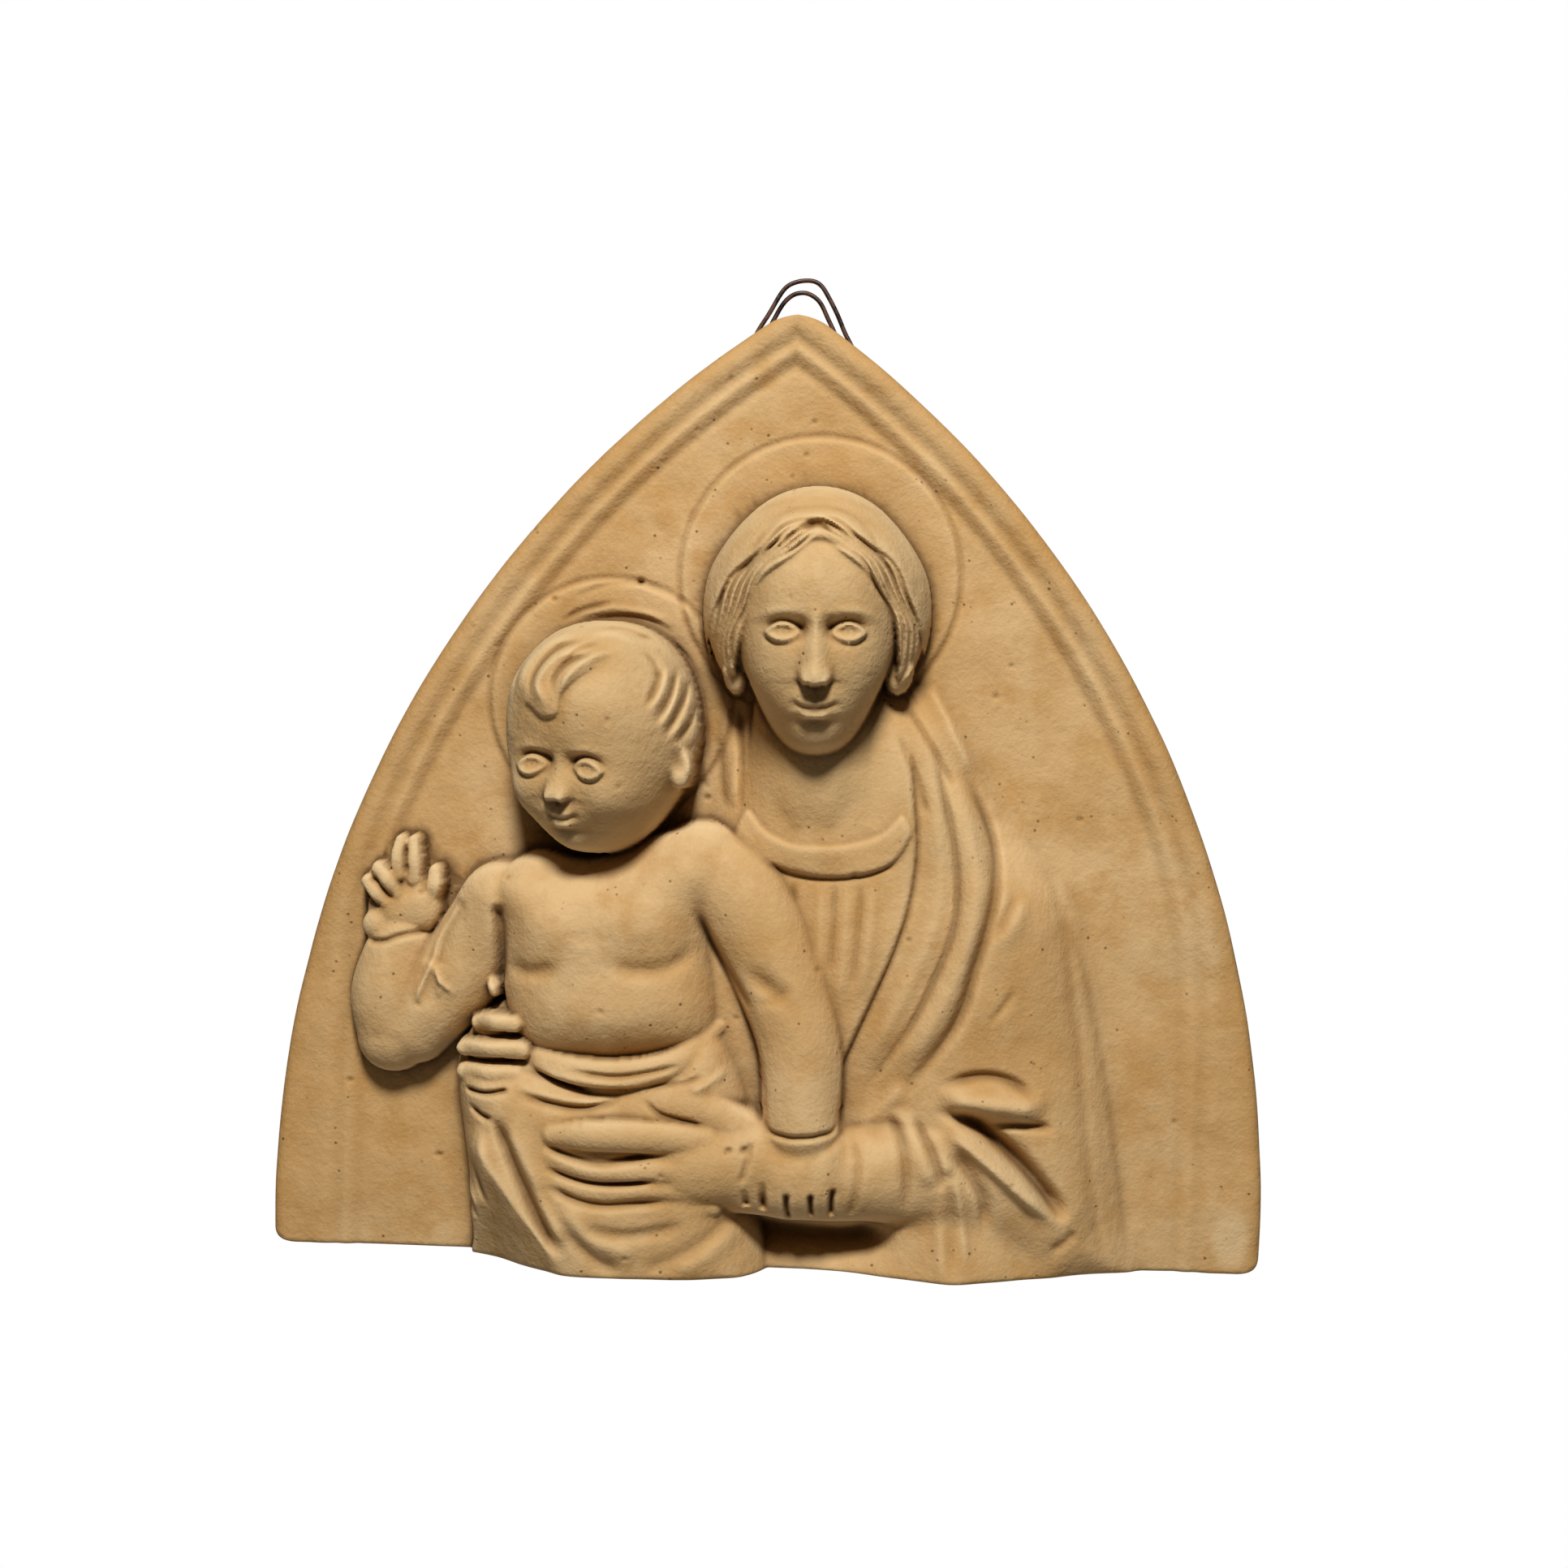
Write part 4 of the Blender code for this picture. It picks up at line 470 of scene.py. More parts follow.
def neck_and_collar(c):
    """The mother's neck, the band of her collar and the pleats below it."""
    c.tube([(11, 165.5), (11, 146.5), (11.5, 129.5)], [16, 13.0, 9.0], [18.5, 20.0, 22.0], 4.0)
    c.bump((11, 131.5), (10.0, 5.0), -0.8)
    c.mark([(-2, 142.5), (4.5, 133), (9, 129.5)], 2.6, -0.5)
    c.mark([(24, 144), (19, 134), (14.5, 129.5)], 2.6, -0.5)
    part, _, _, d = c.depth_in(
        [(-8.5, 136.5), (-2.5, 131), (5.5, 127.5), (13.5, 127), (23, 128), (31.5, 131), (37.5, 136.5),
            (40.5, 130.5), (32.5, 120.5), (14, 117.5), (-4.5, 122), (-12, 126.5)])
    c.h[part] += 2.0 * dome(d / 2.2) * (d > 0)
    c.mark([(-11.5, 126), (-4, 121.5), (5, 118), (16.5, 117), (28, 118.5), (38, 123)], 0.8, -0.9, 0.1)
    # pleats below the collar
    for x, drift, low, width, rise in (
        (6.5, 0.7, 90.0, 1.0, -1.2), (14.8, -0.6, 84.0, 2.0, 1.1), (18.6, -0.9, 88.0, 0.9, -0.9),
        (22.4, -2.1, 78.0, 2.0, 1.1), (26.2, -2.0, 84.0, 0.9, -0.9), (29.7, -2.8, 82.0, 1.8, 1.0),
    ):
        c.mark([(x, 118.0), (x + 0.4 * drift, 0.5 * (118.0 + low)), (x + drift, low)], width, rise)


def veil_falls(c):
    """The veil hanging beside the neck, and the mantle crossing her breast."""
    hem = [(39, 161.5), (41.5, 138), (42, 123.5), (40, 109), (35.5, 95), (29.5, 80.5), (22.5, 63.5),
        (18.5, 49)]
    c.step_edge(hem[::-1], 2.2, 2.6, 40.0, 0.12)
    for width, rise, line in (
        (3.0, 1.6, [(43.5, 168.5), (46.5, 147.5), (49, 128.5), (49, 112), (45.5, 97.5), (39, 83),
            (32, 68.5), (25.5, 56.5)]),
        (1.1, -2.0, [(46, 161.5), (50, 143), (53.5, 126.5), (54.5, 113), (53, 101.5), (48, 88),
            (41, 73.5), (25.5, 49.5)]),
        (4.2, 3.4, [(51, 154.5), (56.5, 138), (59.5, 124), (59.5, 112), (57, 98), (51, 82), (44, 69),
            (36, 57)]),
        (1.7, -3.4, [(53.5, 154.5), (61.5, 138.5), (65.5, 126.5), (65.5, 114.5), (63, 102.5), (60, 92),
            (54, 74), (35, 48)]),
        (1.5, 1.6, [(44.5, 175.5), (50, 166.5), (54, 158), (59.5, 147.5)]),
        (1.1, -1.5, [(39, 168), (46, 157), (54, 144)]),
        (1.2, -1.2, [(35.5, 161.5), (42, 146.5), (45, 135.5)]),
        # the strip on the other side of the neck
        (3.0, 1.7, [(-15, 167.5), (-13.5, 153), (-12, 136)]),
        (1.0, -1.5, [(-11.5, 169), (-10.5, 153), (-10, 134)]),
        (1.2, -0.9, [(-17.5, 160), (-16.5, 148), (-15, 136)]),
    ):
        c.mark(line, width, rise, 0.2)


def sleeve(c):
    """Her left forearm in its sleeve, the leaf-shaped folds at the elbow and the hollow under the wrist."""
    c.tube(
        [(83, 20), (61.5, 28.5), (38, 30.5), (14, 29.5), (-6, 30)],
        [14, 18, 24.5, 29, 31.5], [17, 18, 15.5, 13.5, 12.0], 5.0)
    c.slab(
        [(23.5, 39.5), (37.5, 49.5), (58.5, 48), (80.5, 34.5), (95, 13.5), (99, -12.5), (100, -41.5),
            (-7.5, -45.5), (0.5, 3), (19, 18)],
        17.0, 41.0, 58.0, 3.0, 3.0, True)
    for width, rise, lean, line in (
        # upper leaf: dark line over it, rounded body, dark line below
        (1.5, -2.6, 0.0, [(49.5, 57), (61.5, 60.5), (70.5, 59.5), (80.5, 54)]),
        (4.0, 5.2, 0.0, [(49.5, 54), (61, 53.5), (72.5, 52.5), (83.5, 50.5)]),
        (1.3, -2.6, 0.0, [(65, 46), (74.5, 46.5), (85.5, 45.5)]),
        # lower leaf: steep recess on its right, bright ridge on its left
        (2.4, -7.4, 0.30, [(48, 51.5), (60.5, 46.5), (67.5, 41.5), (76.5, 33), (84.5, 23.5),
            (89.5, 17)]),
        (2.8, 3.6, 0.30, [(49.5, 47.5), (60, 40), (68.5, 33), (77, 25.5), (87.5, 17)]),
        # the small leaf and the thin ridges that fan out below it
        (1.9, -3.2, 0.30, [(53.5, 40), (59.5, 32.5), (64, 24.5), (65, 13.5)]),
        (1.3, 1.1, 0.0, [(55, 34.5), (57, 25.5), (58.5, 16.5), (60.5, 1.5)]),
        (1.5, 0.7, 0.0, [(50.5, 24.5), (52, 12.5), (52.5, 0.5)]),
        (1.4, -0.9, 0.0, [(54, 29.5), (55, 17.5), (55.5, 0.5)]),
        (2.6, 2.0, 0.0, [(38, 51.5), (43, 44), (46.5, 36), (49, 27.5)]),
        (1.5, -2.2, 0.0, [(35.5, 48.5), (39.5, 42.5), (41.5, 33), (42, 16.5)]),
        (1.2, -1.8, 0.0, [(43, 49), (47.5, 41), (51, 33), (52, 26.5)]),
        (2.2, 1.7, 0.0, [(48.5, 46), (52, 38.5), (54.5, 31.5)]),
        (1.6, -1.2, 0.0, [(84.5, 8.5), (89, 11.5), (93, 15.5)]),
        (2.6, 1.4, 0.0, [(42, 58.5), (35, 51), (25.5, 43.5)]),
        (1.3, -1.3, 0.0, [(24.5, 45), (27.5, 36), (26.5, 24), (24, 18)]),
    ):
        c.mark(line, width, rise, 0.25, 1.0, lean)
    c.bump((32, 32), (11.0, 11.0), 1.6)
    c.mark([(-12.5, 12.5), (3, 10), (22, 9), (40.5, 12)], 4.4, -11.0, 0.22)


def trim_foot(c):
    """Draws the clay back towards the foot, where the figures' lower edge sinks into the ground."""
    x, z = np.meshgrid(c.x, c.z)
    run = curve(FOOT_LINE, 4)
    limit = np.interp(x, run[:, 0], run[:, 1]) + 0.62 * np.maximum(z, 0.0)
    c.h = -smooth_max(-c.h, -limit, 2.0)


def hips_and_cloth(c):
    """The child's hips in a wrapped cloth, whose end hangs down on the left."""
    c.slab(
        [(-92, 61), (-93, 51), (-89.5, 28.5), (-87.5, 4.5), (-86.5, -20), (-1.5, -17), (-3.5, 21.5),
            (-0.5, 41), (-14.5, 73.5), (-34.5, 64), (-54, 62), (-73, 65)],
        17.0, 41.5, 20.0, 2.0)
    c.bump((-46.5, 18), (24.0, 20.0), 4.5)


def gripping_fingers(c):
    """The mother's right hand, its fingers round the child's side."""
    c.slab([(-86, 73.5), (-77.5, 77), (-72, 65.5), (-72.5, 46), (-82, 42.5), (-90, 48), (-92, 62.5)],
        17.0, 33.0, 9.0, 1.5)
    for line, radius, height in (
        ([(-86, 71.5), (-80.5, 72.5), (-74.5, 72)], 2.6, 33.5),
        ([(-90, 64), (-82, 65), (-72, 64.5)], 2.8, 34.5),
        ([(-89.5, 57), (-82, 57.5), (-73.5, 57)], 2.9, 34.5),
        ([(-88, 49.5), (-84, 49.5), (-79, 48)], 2.6, 33.0),
    ):
        c.tube(line, [height - 5.0, height, height - 0.5], [0.9 * radius, radius, radius], 0.4)
    for line in (
        [(-89.5, 67.5), (-82, 67.5), (-74.5, 68)],
        [(-90, 61), (-82, 60.5), (-74, 61)],
        [(-89, 52.5), (-82, 52), (-74.5, 53.5)],
    ):
        c.mark(line, 0.7, -3.0, 0.15)
    c.mark([(-87.5, 48), (-83, 45.5), (-79, 44.5)], 0.9, -2.6, 0.3)
    c.ball((-81.5, 82), 28.5, (1.8, 3.2, 3.2), 12.0, 0.8)
    c.bump((-82.5, 77.5), (1.6, 1.4), -3.0)


def torso(c):
    """The child's chest and belly."""
    c.slab(
        [(-84.5, 113), (-71.5, 122.5), (-55, 120.5), (-36, 128), (-24.5, 131), (-11, 126.5),
            (-11, 112.5), (-17.5, 103), (-14.5, 75.5), (-19, 65.5), (-41.5, 60), (-60.5, 60),
            (-73, 64.5), (-78.5, 77), (-82, 103.5)],
        22.0, 38.5, 19.0, 2.0, 3.5)
    for spot, size, rise in (
        ((-64, 101.5), (13.0, 10.0), 3.2),
        ((-37, 103), (14.0, 10.0), 3.4),
        ((-45.5, 76.5), (25.0, 17.0), 4.8),
        ((-76.5, 111), (9.0, 8.0), 2.5),
        ((-20.5, 118), (10.0, 9.0), 2.0),
    ):
        c.bump(spot, size, rise)
    for width, rise, line in (
        (2.6, -1.7, [(-78, 91.5), (-72, 88), (-65.5, 88.5), (-58.5, 92)]),
        (2.6, -1.8, [(-49, 92.5), (-41, 90), (-31.5, 90), (-24.5, 94), (-21.5, 100.5)]),
        (4.0, -1.1, [(-55, 113), (-54, 102.5), (-53.5, 95)]),
        (4.4, -1.8, [(-70.5, 119.5), (-59, 117), (-42.5, 120), (-28.5, 126)]),
    ):
        c.mark(line, width, rise, 0.35)


def reaching_arm(c):
    """The child's left arm, down to the mother's wrist, with its fingers over it."""
    c.tube(
        [(-21, 119.5), (-8, 108.5), (2.5, 88.5), (9.5, 68.5), (10.5, 45.5)],
        [22.5, 25.5, 28.5, 32, 35], [13.6, 14.4, 13.6, 12.4, 11.4], 2.6)
    c.mark([(-23, 108.5), (-18, 99), (-13.5, 92), (-9, 85), (-3.5, 75)], 1.3, -2.4, 0.2)
    c.bump((0, 86), (6.5, 3.0), -2.4, -38)
    c.mark([(-7.5, 83), (-2, 81), (3.5, 83.5), (6.5, 88.5)], 1.6, -0.6, 0.35)
    c.mark([(-2, 67), (-0.5, 55), (0.5, 45.5), (6, 43.5), (11, 43.5), (16, 44), (21, 46), (21.5, 56)],
        0.9, -2.2, 0.12)
    # the back of the hand lies broad over the wrist, and short fingers end in dark slits
    c.slab([(-6.5, 41.5), (2, 43.5), (21, 44), (25.5, 39.5), (26, 25.5), (19, 18), (3, 17), (-5, 24)],
        30.0, 45.5, 12.0, 2.0)
    for line, width in (
        ([(-0.5, 30.5), (0, 25.5), (0.5, 20.5)], 0.85),
        ([(7, 27.5), (7, 23), (8, 17.5)], 0.7),
        ([(14, 27.5), (14, 23.5), (14.5, 19)], 0.6),
        ([(20.5, 29), (20, 24.5), (20, 19)], 0.65),
        ([(-5.5, 28), (-5, 25), (-4.5, 22)], 0.7),
    ):
        c.mark(line, width, -4.2, 0.2)


def blessing_arm(c):
    """The child's raised right arm, its web of clay and the blessing hand."""
    c.tube([(-81, 106), (-87.5, 95), (-96, 82), (-107, 68.5)], [22, 19, 18, 18],
        [13.0, 13.4, 13.4, 11.8], 1.5)
    c.tube([(-113, 65.5), (-114, 79), (-111.5, 93.5)], [17.5, 18, 18.5], [11.4, 12.3, 10.2], 1.2)
    c.mark([(-92, 109), (-96, 101), (-98.5, 94), (-100, 88)], 3.0, -2.0, 0.12)
    c.mark([(-91, 110), (-95, 102.5), (-98.5, 96), (-100, 89), (-103, 81.5), (-105, 76)], 0.9, 1.8, 0.2)
    c.mark([(-99.5, 88.5), (-97, 84), (-92.5, 79.5)], 0.8, 1.4, 0.3)
    c.mark([(-97.5, 85.5), (-97, 82), (-98, 78.5)], 0.8, 1.0, 0.3)
    c.bump((-99.5, 80.5), (3.0, 5.0), -1.2, 20)
    c.mark([(-80.5, 108), (-79.5, 99), (-79.5, 88), (-81, 82.5)], 1.6, -4.0, 0.15)
    # palm, heel and ball of the thumb
    c.ball((-110.5, 104), 18.5, (11.4, 10.2, 8.2), 0, 0.8)
    c.ball((-117.5, 99), 21.5, (5.4, 5.0, 5.0), 0, 1.0)
    c.ball((-105, 105), 21.5, (5.6, 8.4, 5.4), 0, 1.0)
    c.mark([(-121, 94), (-115, 94.5), (-109, 96.5), (-101.5, 97.5)], 0.9, -2.0, 0.15)
    # two raised fingers, the thumb and two folded fingers
    for line, heights, radius in (
        ([(-111.5, 114.5), (-112, 120), (-111.5, 124.5)], [24, 24.5, 23], 2.3),
        ([(-107, 113), (-107, 119), (-107.5, 124.5)], [24, 24.5, 23], 2.3),
        ([(-103, 106.5), (-101, 111), (-101, 115.5)], [22, 24.0, 23], 2.6),
        ([(-117.5, 116), (-114.5, 112.5), (-112, 108.5)], [25, 26.5, 25], 2.4),
        ([(-121, 112), (-118, 108.5), (-115.5, 106)], [23.5, 25.5, 25], 2.3),
    ):
        c.tube(line, heights, [radius, radius, 0.85 * radius], 0.8)
    for line, heights in (
        ([(-109.5, 112.5), (-109.5, 118), (-109.5, 123)], [23.0, 23.4, 21.5]),
        ([(-119.5, 114.5), (-116.5, 110.5), (-113.5, 107)], [23.0, 24.6, 24.0]),
    ):
        c.tube(line, heights, [1.5, 1.5, 1.1], 0.6)
    for line in (
        [(-119, 114.5), (-116, 110.5), (-112, 106.5)],
        [(-122.5, 110), (-119.5, 106.5), (-116, 104.5)],
        [(-109.5, 123), (-109.5, 119), (-109, 114)],
        [(-104, 113.5), (-104, 110.5), (-105, 108)],
    ):
        c.mark(line, 0.7, -1.3, 0.2)


def cloth_folds(c):
    """Bands of cloth round the hips and the folds of its hanging end."""
    c.tube([(-73, 64), (-60, 60), (-43, 59), (-27, 62.5), (-14.5, 72.5)], [29, 36.0, 37.5, 36, 28],
        [2.4, 4.0, 4.2, 4.0, 2.2], 1.5)
    for width, rise, line in (
        (0.9, -1.8, [(-59, 60), (-45, 58.5), (-34, 60), (-24, 62.5)]),
        (1.5, 1.2, [(-69.5, 61), (-60.5, 58), (-52, 56.5), (-41.5, 55.5), (-30, 57)]),
        (0.9, -2.2, [(-73.5, 59.5), (-64, 57), (-56.5, 54.5), (-49, 52.5), (-36.5, 53.5)]),
        (0.7, -1.2, [(-35.5, 54.5), (-30, 56), (-22.5, 57.5), (-17.5, 60)]),
        (1.6, 1.5, [(-74, 56), (-68, 54), (-60.5, 52), (-52, 51), (-42.5, 51.5)]),
        (1.1, -2.4, [(-72, 52.5), (-62.5, 50), (-55, 49), (-47.5, 50), (-40.5, 52.5)]),
        (1.2, 1.0, [(-22, 54.5), (-16, 57.5), (-11, 61)]),
    ):
        c.mark(line, width, rise, 0.22)
    for width, rise, lean, line in (
        (3.8, 5.2, -0.30, [(-85, 43), (-81.5, 33.5), (-77, 24.5), (-73, 18), (-68, 11.5), (-59, 0)]),
        (1.9, -4.6, 0.30, [(-79.5, 46.5), (-74.5, 35.5), (-70, 26), (-64.5, 15.5), (-58, 5)]),
        (1.7, 2.4, -0.30, [(-89, 25.5), (-85, 18), (-80, 12), (-75.5, 7), (-70.5, 2.5)]),
        (1.2, -2.6, 0.0, [(-86.5, 32), (-82, 21.5), (-77, 14.5), (-72.5, 8.5), (-67.5, 3.5)]),
        (1.4, 1.6, -0.20, [(-89, 16.5), (-84.5, 10.5), (-79.5, 6)]),
        (1.0, -1.6, 0.0, [(-88.5, 20.5), (-83.5, 12.5), (-78, 6.5)]),
        (3.0, 2.0, 0.0, [(-75.5, 45.5), (-70, 35.5), (-64.5, 26), (-60.5, 17.5), (-55.5, 9)]),
        (2.2, -1.6, 0.0, [(-66, 31), (-58.5, 17), (-49, 6.5), (-39.5, 2)]),
        (2.8, 1.3, 0.0, [(-58.5, 22), (-49, 12.5), (-34.5, 6.5)]),
        (2.2, -1.1, 0.0, [(-34.5, 3), (-20.5, 9), (-8, 19)]),
        (2.8, 1.0, 0.0, [(-25, 2.5), (-14.5, 8), (-4, 15.5)]),
    ):
        c.mark(line, width, rise, 0.18, 1.0, lean)


def spread_hand(c):
    """The mother's left hand across the cloth."""
    c.tube([(-3, 34.5), (-13, 33.5), (-23, 32.5), (-31.5, 31.5)], [33.0, 33.5, 34.0, 33.0],
        [12.2, 13.2, 12.6, 11.0], 2.0)
    c.tube([(-7.5, 42.5), (-17.5, 48.5), (-27, 51), (-34.5, 53)], [34, 36, 36.5, 35],
        [7.5, 6.0, 5.0, 3.6], 1.5)
    c.mark([(-35.5, 52.5), (-31, 48.5), (-25.5, 47), (-21, 46), (-15.5, 43.5)], 0.8, -1.8, 0.2)
    for line, heights, radii in (
        ([(-17, 40.5), (-35, 42), (-50, 42), (-61, 41.5)], [40, 43.2, 43.4, 41], [4.8, 4.8, 4.6, 3.6]),
        ([(-16.5, 33), (-34.5, 32), (-50, 32), (-62.5, 35.5)], [41, 43.4, 43, 40.5],
            [4.2, 3.6, 3.3, 2.8]),
        ([(-16.5, 27.5), (-34.5, 26.5), (-49.5, 26.5), (-60.5, 30)], [40, 42.2, 42.0, 39.5],
            [4.0, 3.5, 3.2, 2.6]),
        ([(-15, 21.5), (-32, 20), (-45, 19)], [38, 40.6, 39.5], [3.6, 3.1, 2.5]),
    ):
        c.tube(line, heights, radii, 1.0)
    for width, line in (
        (0.9, [(-63.5, 38.5), (-57.5, 36), (-48, 34), (-39.5, 35), (-31, 36.5)]),
        (0.8, [(-64, 32.5), (-56.5, 29.5), (-47.5, 28), (-38, 28.5), (-29.5, 30)]),
        (1.2, [(-62.5, 27), (-55, 23.5), (-46.5, 22), (-38, 22.5), (-26, 23.5)]),
    ):
        c.mark(line, width, -2.6, 0.2)
    c.mark([(-3.5, 42), (-4.5, 36), (-6.5, 29)], 0.9, -1.3, 0.2)
    c.bump((-5.5, 39), (1.0, 1.0), -2.4)
    c.mark([(-52.5, 16), (-44, 13.5), (-32.5, 14), (-20.5, 17)], 2.0, -1.6, 0.25)


def ear(c, centre, height, size, turn, side):
    """An ear from the front: a shell with a rolled rim round its hollow."""
    (cx, cz), (a, b) = centre, size
    c.ball(centre, height, (a, b, 1.1 * a), turn, 2.2)
    c.bump((cx + 0.05 * side * a, cz + 0.1 * b), (0.36 * a, 0.44 * b), -0.55 * a, turn)
    rim = [(-0.4, 0.7), (0.1, 0.9), (0.6, 0.6), (0.78, 0.0), (0.5, -0.5)]
    c.mark([(cx + side * a * p, cz + b * q) for p, q in rim], 0.24 * a, 0.22 * a, 0.2)


def mother_head(c):
    """Head, ears, parted hair and the veil over the crown."""
    head(c, (11, 189.5), 25.0, 74.0, 0.0, -3.0, -1.0, False, 1.0)
    ear(c, (-13, 176.5), 27.0, (3.4, 6.0), 10.0, -1.0)
    ear(c, (36, 178), 27.0, (4.0, 6.2), -10.0, 1.0)
    opening = [(10.5, 220.5), (19.5, 217), (26, 213), (32.5, 207), (37, 199.5), (40.5, 191.5),
        (43, 183), (40.5, 171), (29.5, 140.5), (-5, 139.5), (-16.5, 169), (-20.5, 183), (-20, 191.5),
        (-14.5, 202.5), (-8.5, 208.5), (0.5, 214.5)]
    brow_line = [(11, 214.5), (19.5, 209.5), (26.5, 204), (31.5, 196.5), (34, 188.5), (34.5, 175),
        (29, 157.5), (12.5, 146.5), (-5.5, 156.5), (-12, 174), (-10.5, 186.5), (-8.5, 194.5),
        (-5, 202.5), (3.5, 209)]
    crown = (11, 196)
    # hair: a rounded band between the forehead and the veil, tucked behind the ears
    part, x, z, d = c.depth_in(brow_line, 14.0)
    u, v = (x - crown[0]) / 33.0, (z - crown[1]) / 34.5
    inner = 1.0 - u * u - v * v
    held = smooth_step((z - 175.0 + 0.25 * np.abs(x - crown[0]) - 4.0) / 5.0)
    over = (inner > 0) & (d < 0) & (held > 0)
    top = np.where(over, 14.0 + 7.0 * held + 28.5 * np.sqrt(np.maximum(inner, 0)), NO_CLAY)
    c.h[part] = smooth_max(c.h[part], top, 0.8) + np.where(over, 2.8 * held * dome(-d / 2.6), 0.0)
    # wavy locks run from the parting down to each ear
    outer = np.array([(11, 221.5), (19.5, 218.5), (27, 213), (33.5, 206.5), (38.5, 198.5), (41, 190),
        (41, 179)])
    under = np.array([(11, 216.5), (18.5, 211.5), (25, 206.5), (29.5, 200), (32.5, 192.5), (34.5, 185),
        (35.5, 177.5)])
    for k in range(9):
        line = curve(outer + (under - outer) * (k + 0.5) / 9.0, 4)
        for side in (-1.0, 1.0):
            wave = 0.8 * np.sin(0.62 * np.arange(len(line)) + 0.4 * k + side)
            across = crown[0] + side * (line[:, 0] - crown[0] + 0.7 * wave)
            c.mark(np.c_[across, line[:, 1] + 0.7 * wave], 0.62, 1.2 if k % 2 else -2.1, 0.08)
    # veil
    part, x, z, d = c.depth_in(opening, 16.0)
    u, v = (x - crown[0]) / (34.0 - 2.0 * smooth_step((z - crown[1] - 8.0) / 20.0)), (z - crown[1]) / 37.0
    inner = 1.0 - u * u - v * v
    held = smooth_step((z - 169.5) / 7.0)
    over = (inner > 0) & (d < 0) & (held > 0)
    top = np.where(over, 13.5 + 8.0 * held + 31.0 * np.sqrt(np.maximum(inner, 0)), NO_CLAY)
    raised = np.maximum(smooth_max(c.h[part], top, 0.4), c.h[part] + 2.2 * held * dome(-d / 1.2))
    c.h[part] = np.where(over, raised, c.h[part])
    c.mark([(5.5, 217), (11, 219), (16.5, 216.5)], 1.0, -3.0, 0.35)
    for side, line in (
        (1.0, [(13.5, 223.5), (23.5, 219), (32.5, 211), (39.5, 200.5)]),
        (-1.0, [(8, 223), (-2.5, 219), (-11, 211.5), (-17.5, 202.5)]),
    ):
        c.mark(line, 1.6, 0.7, 0.3)


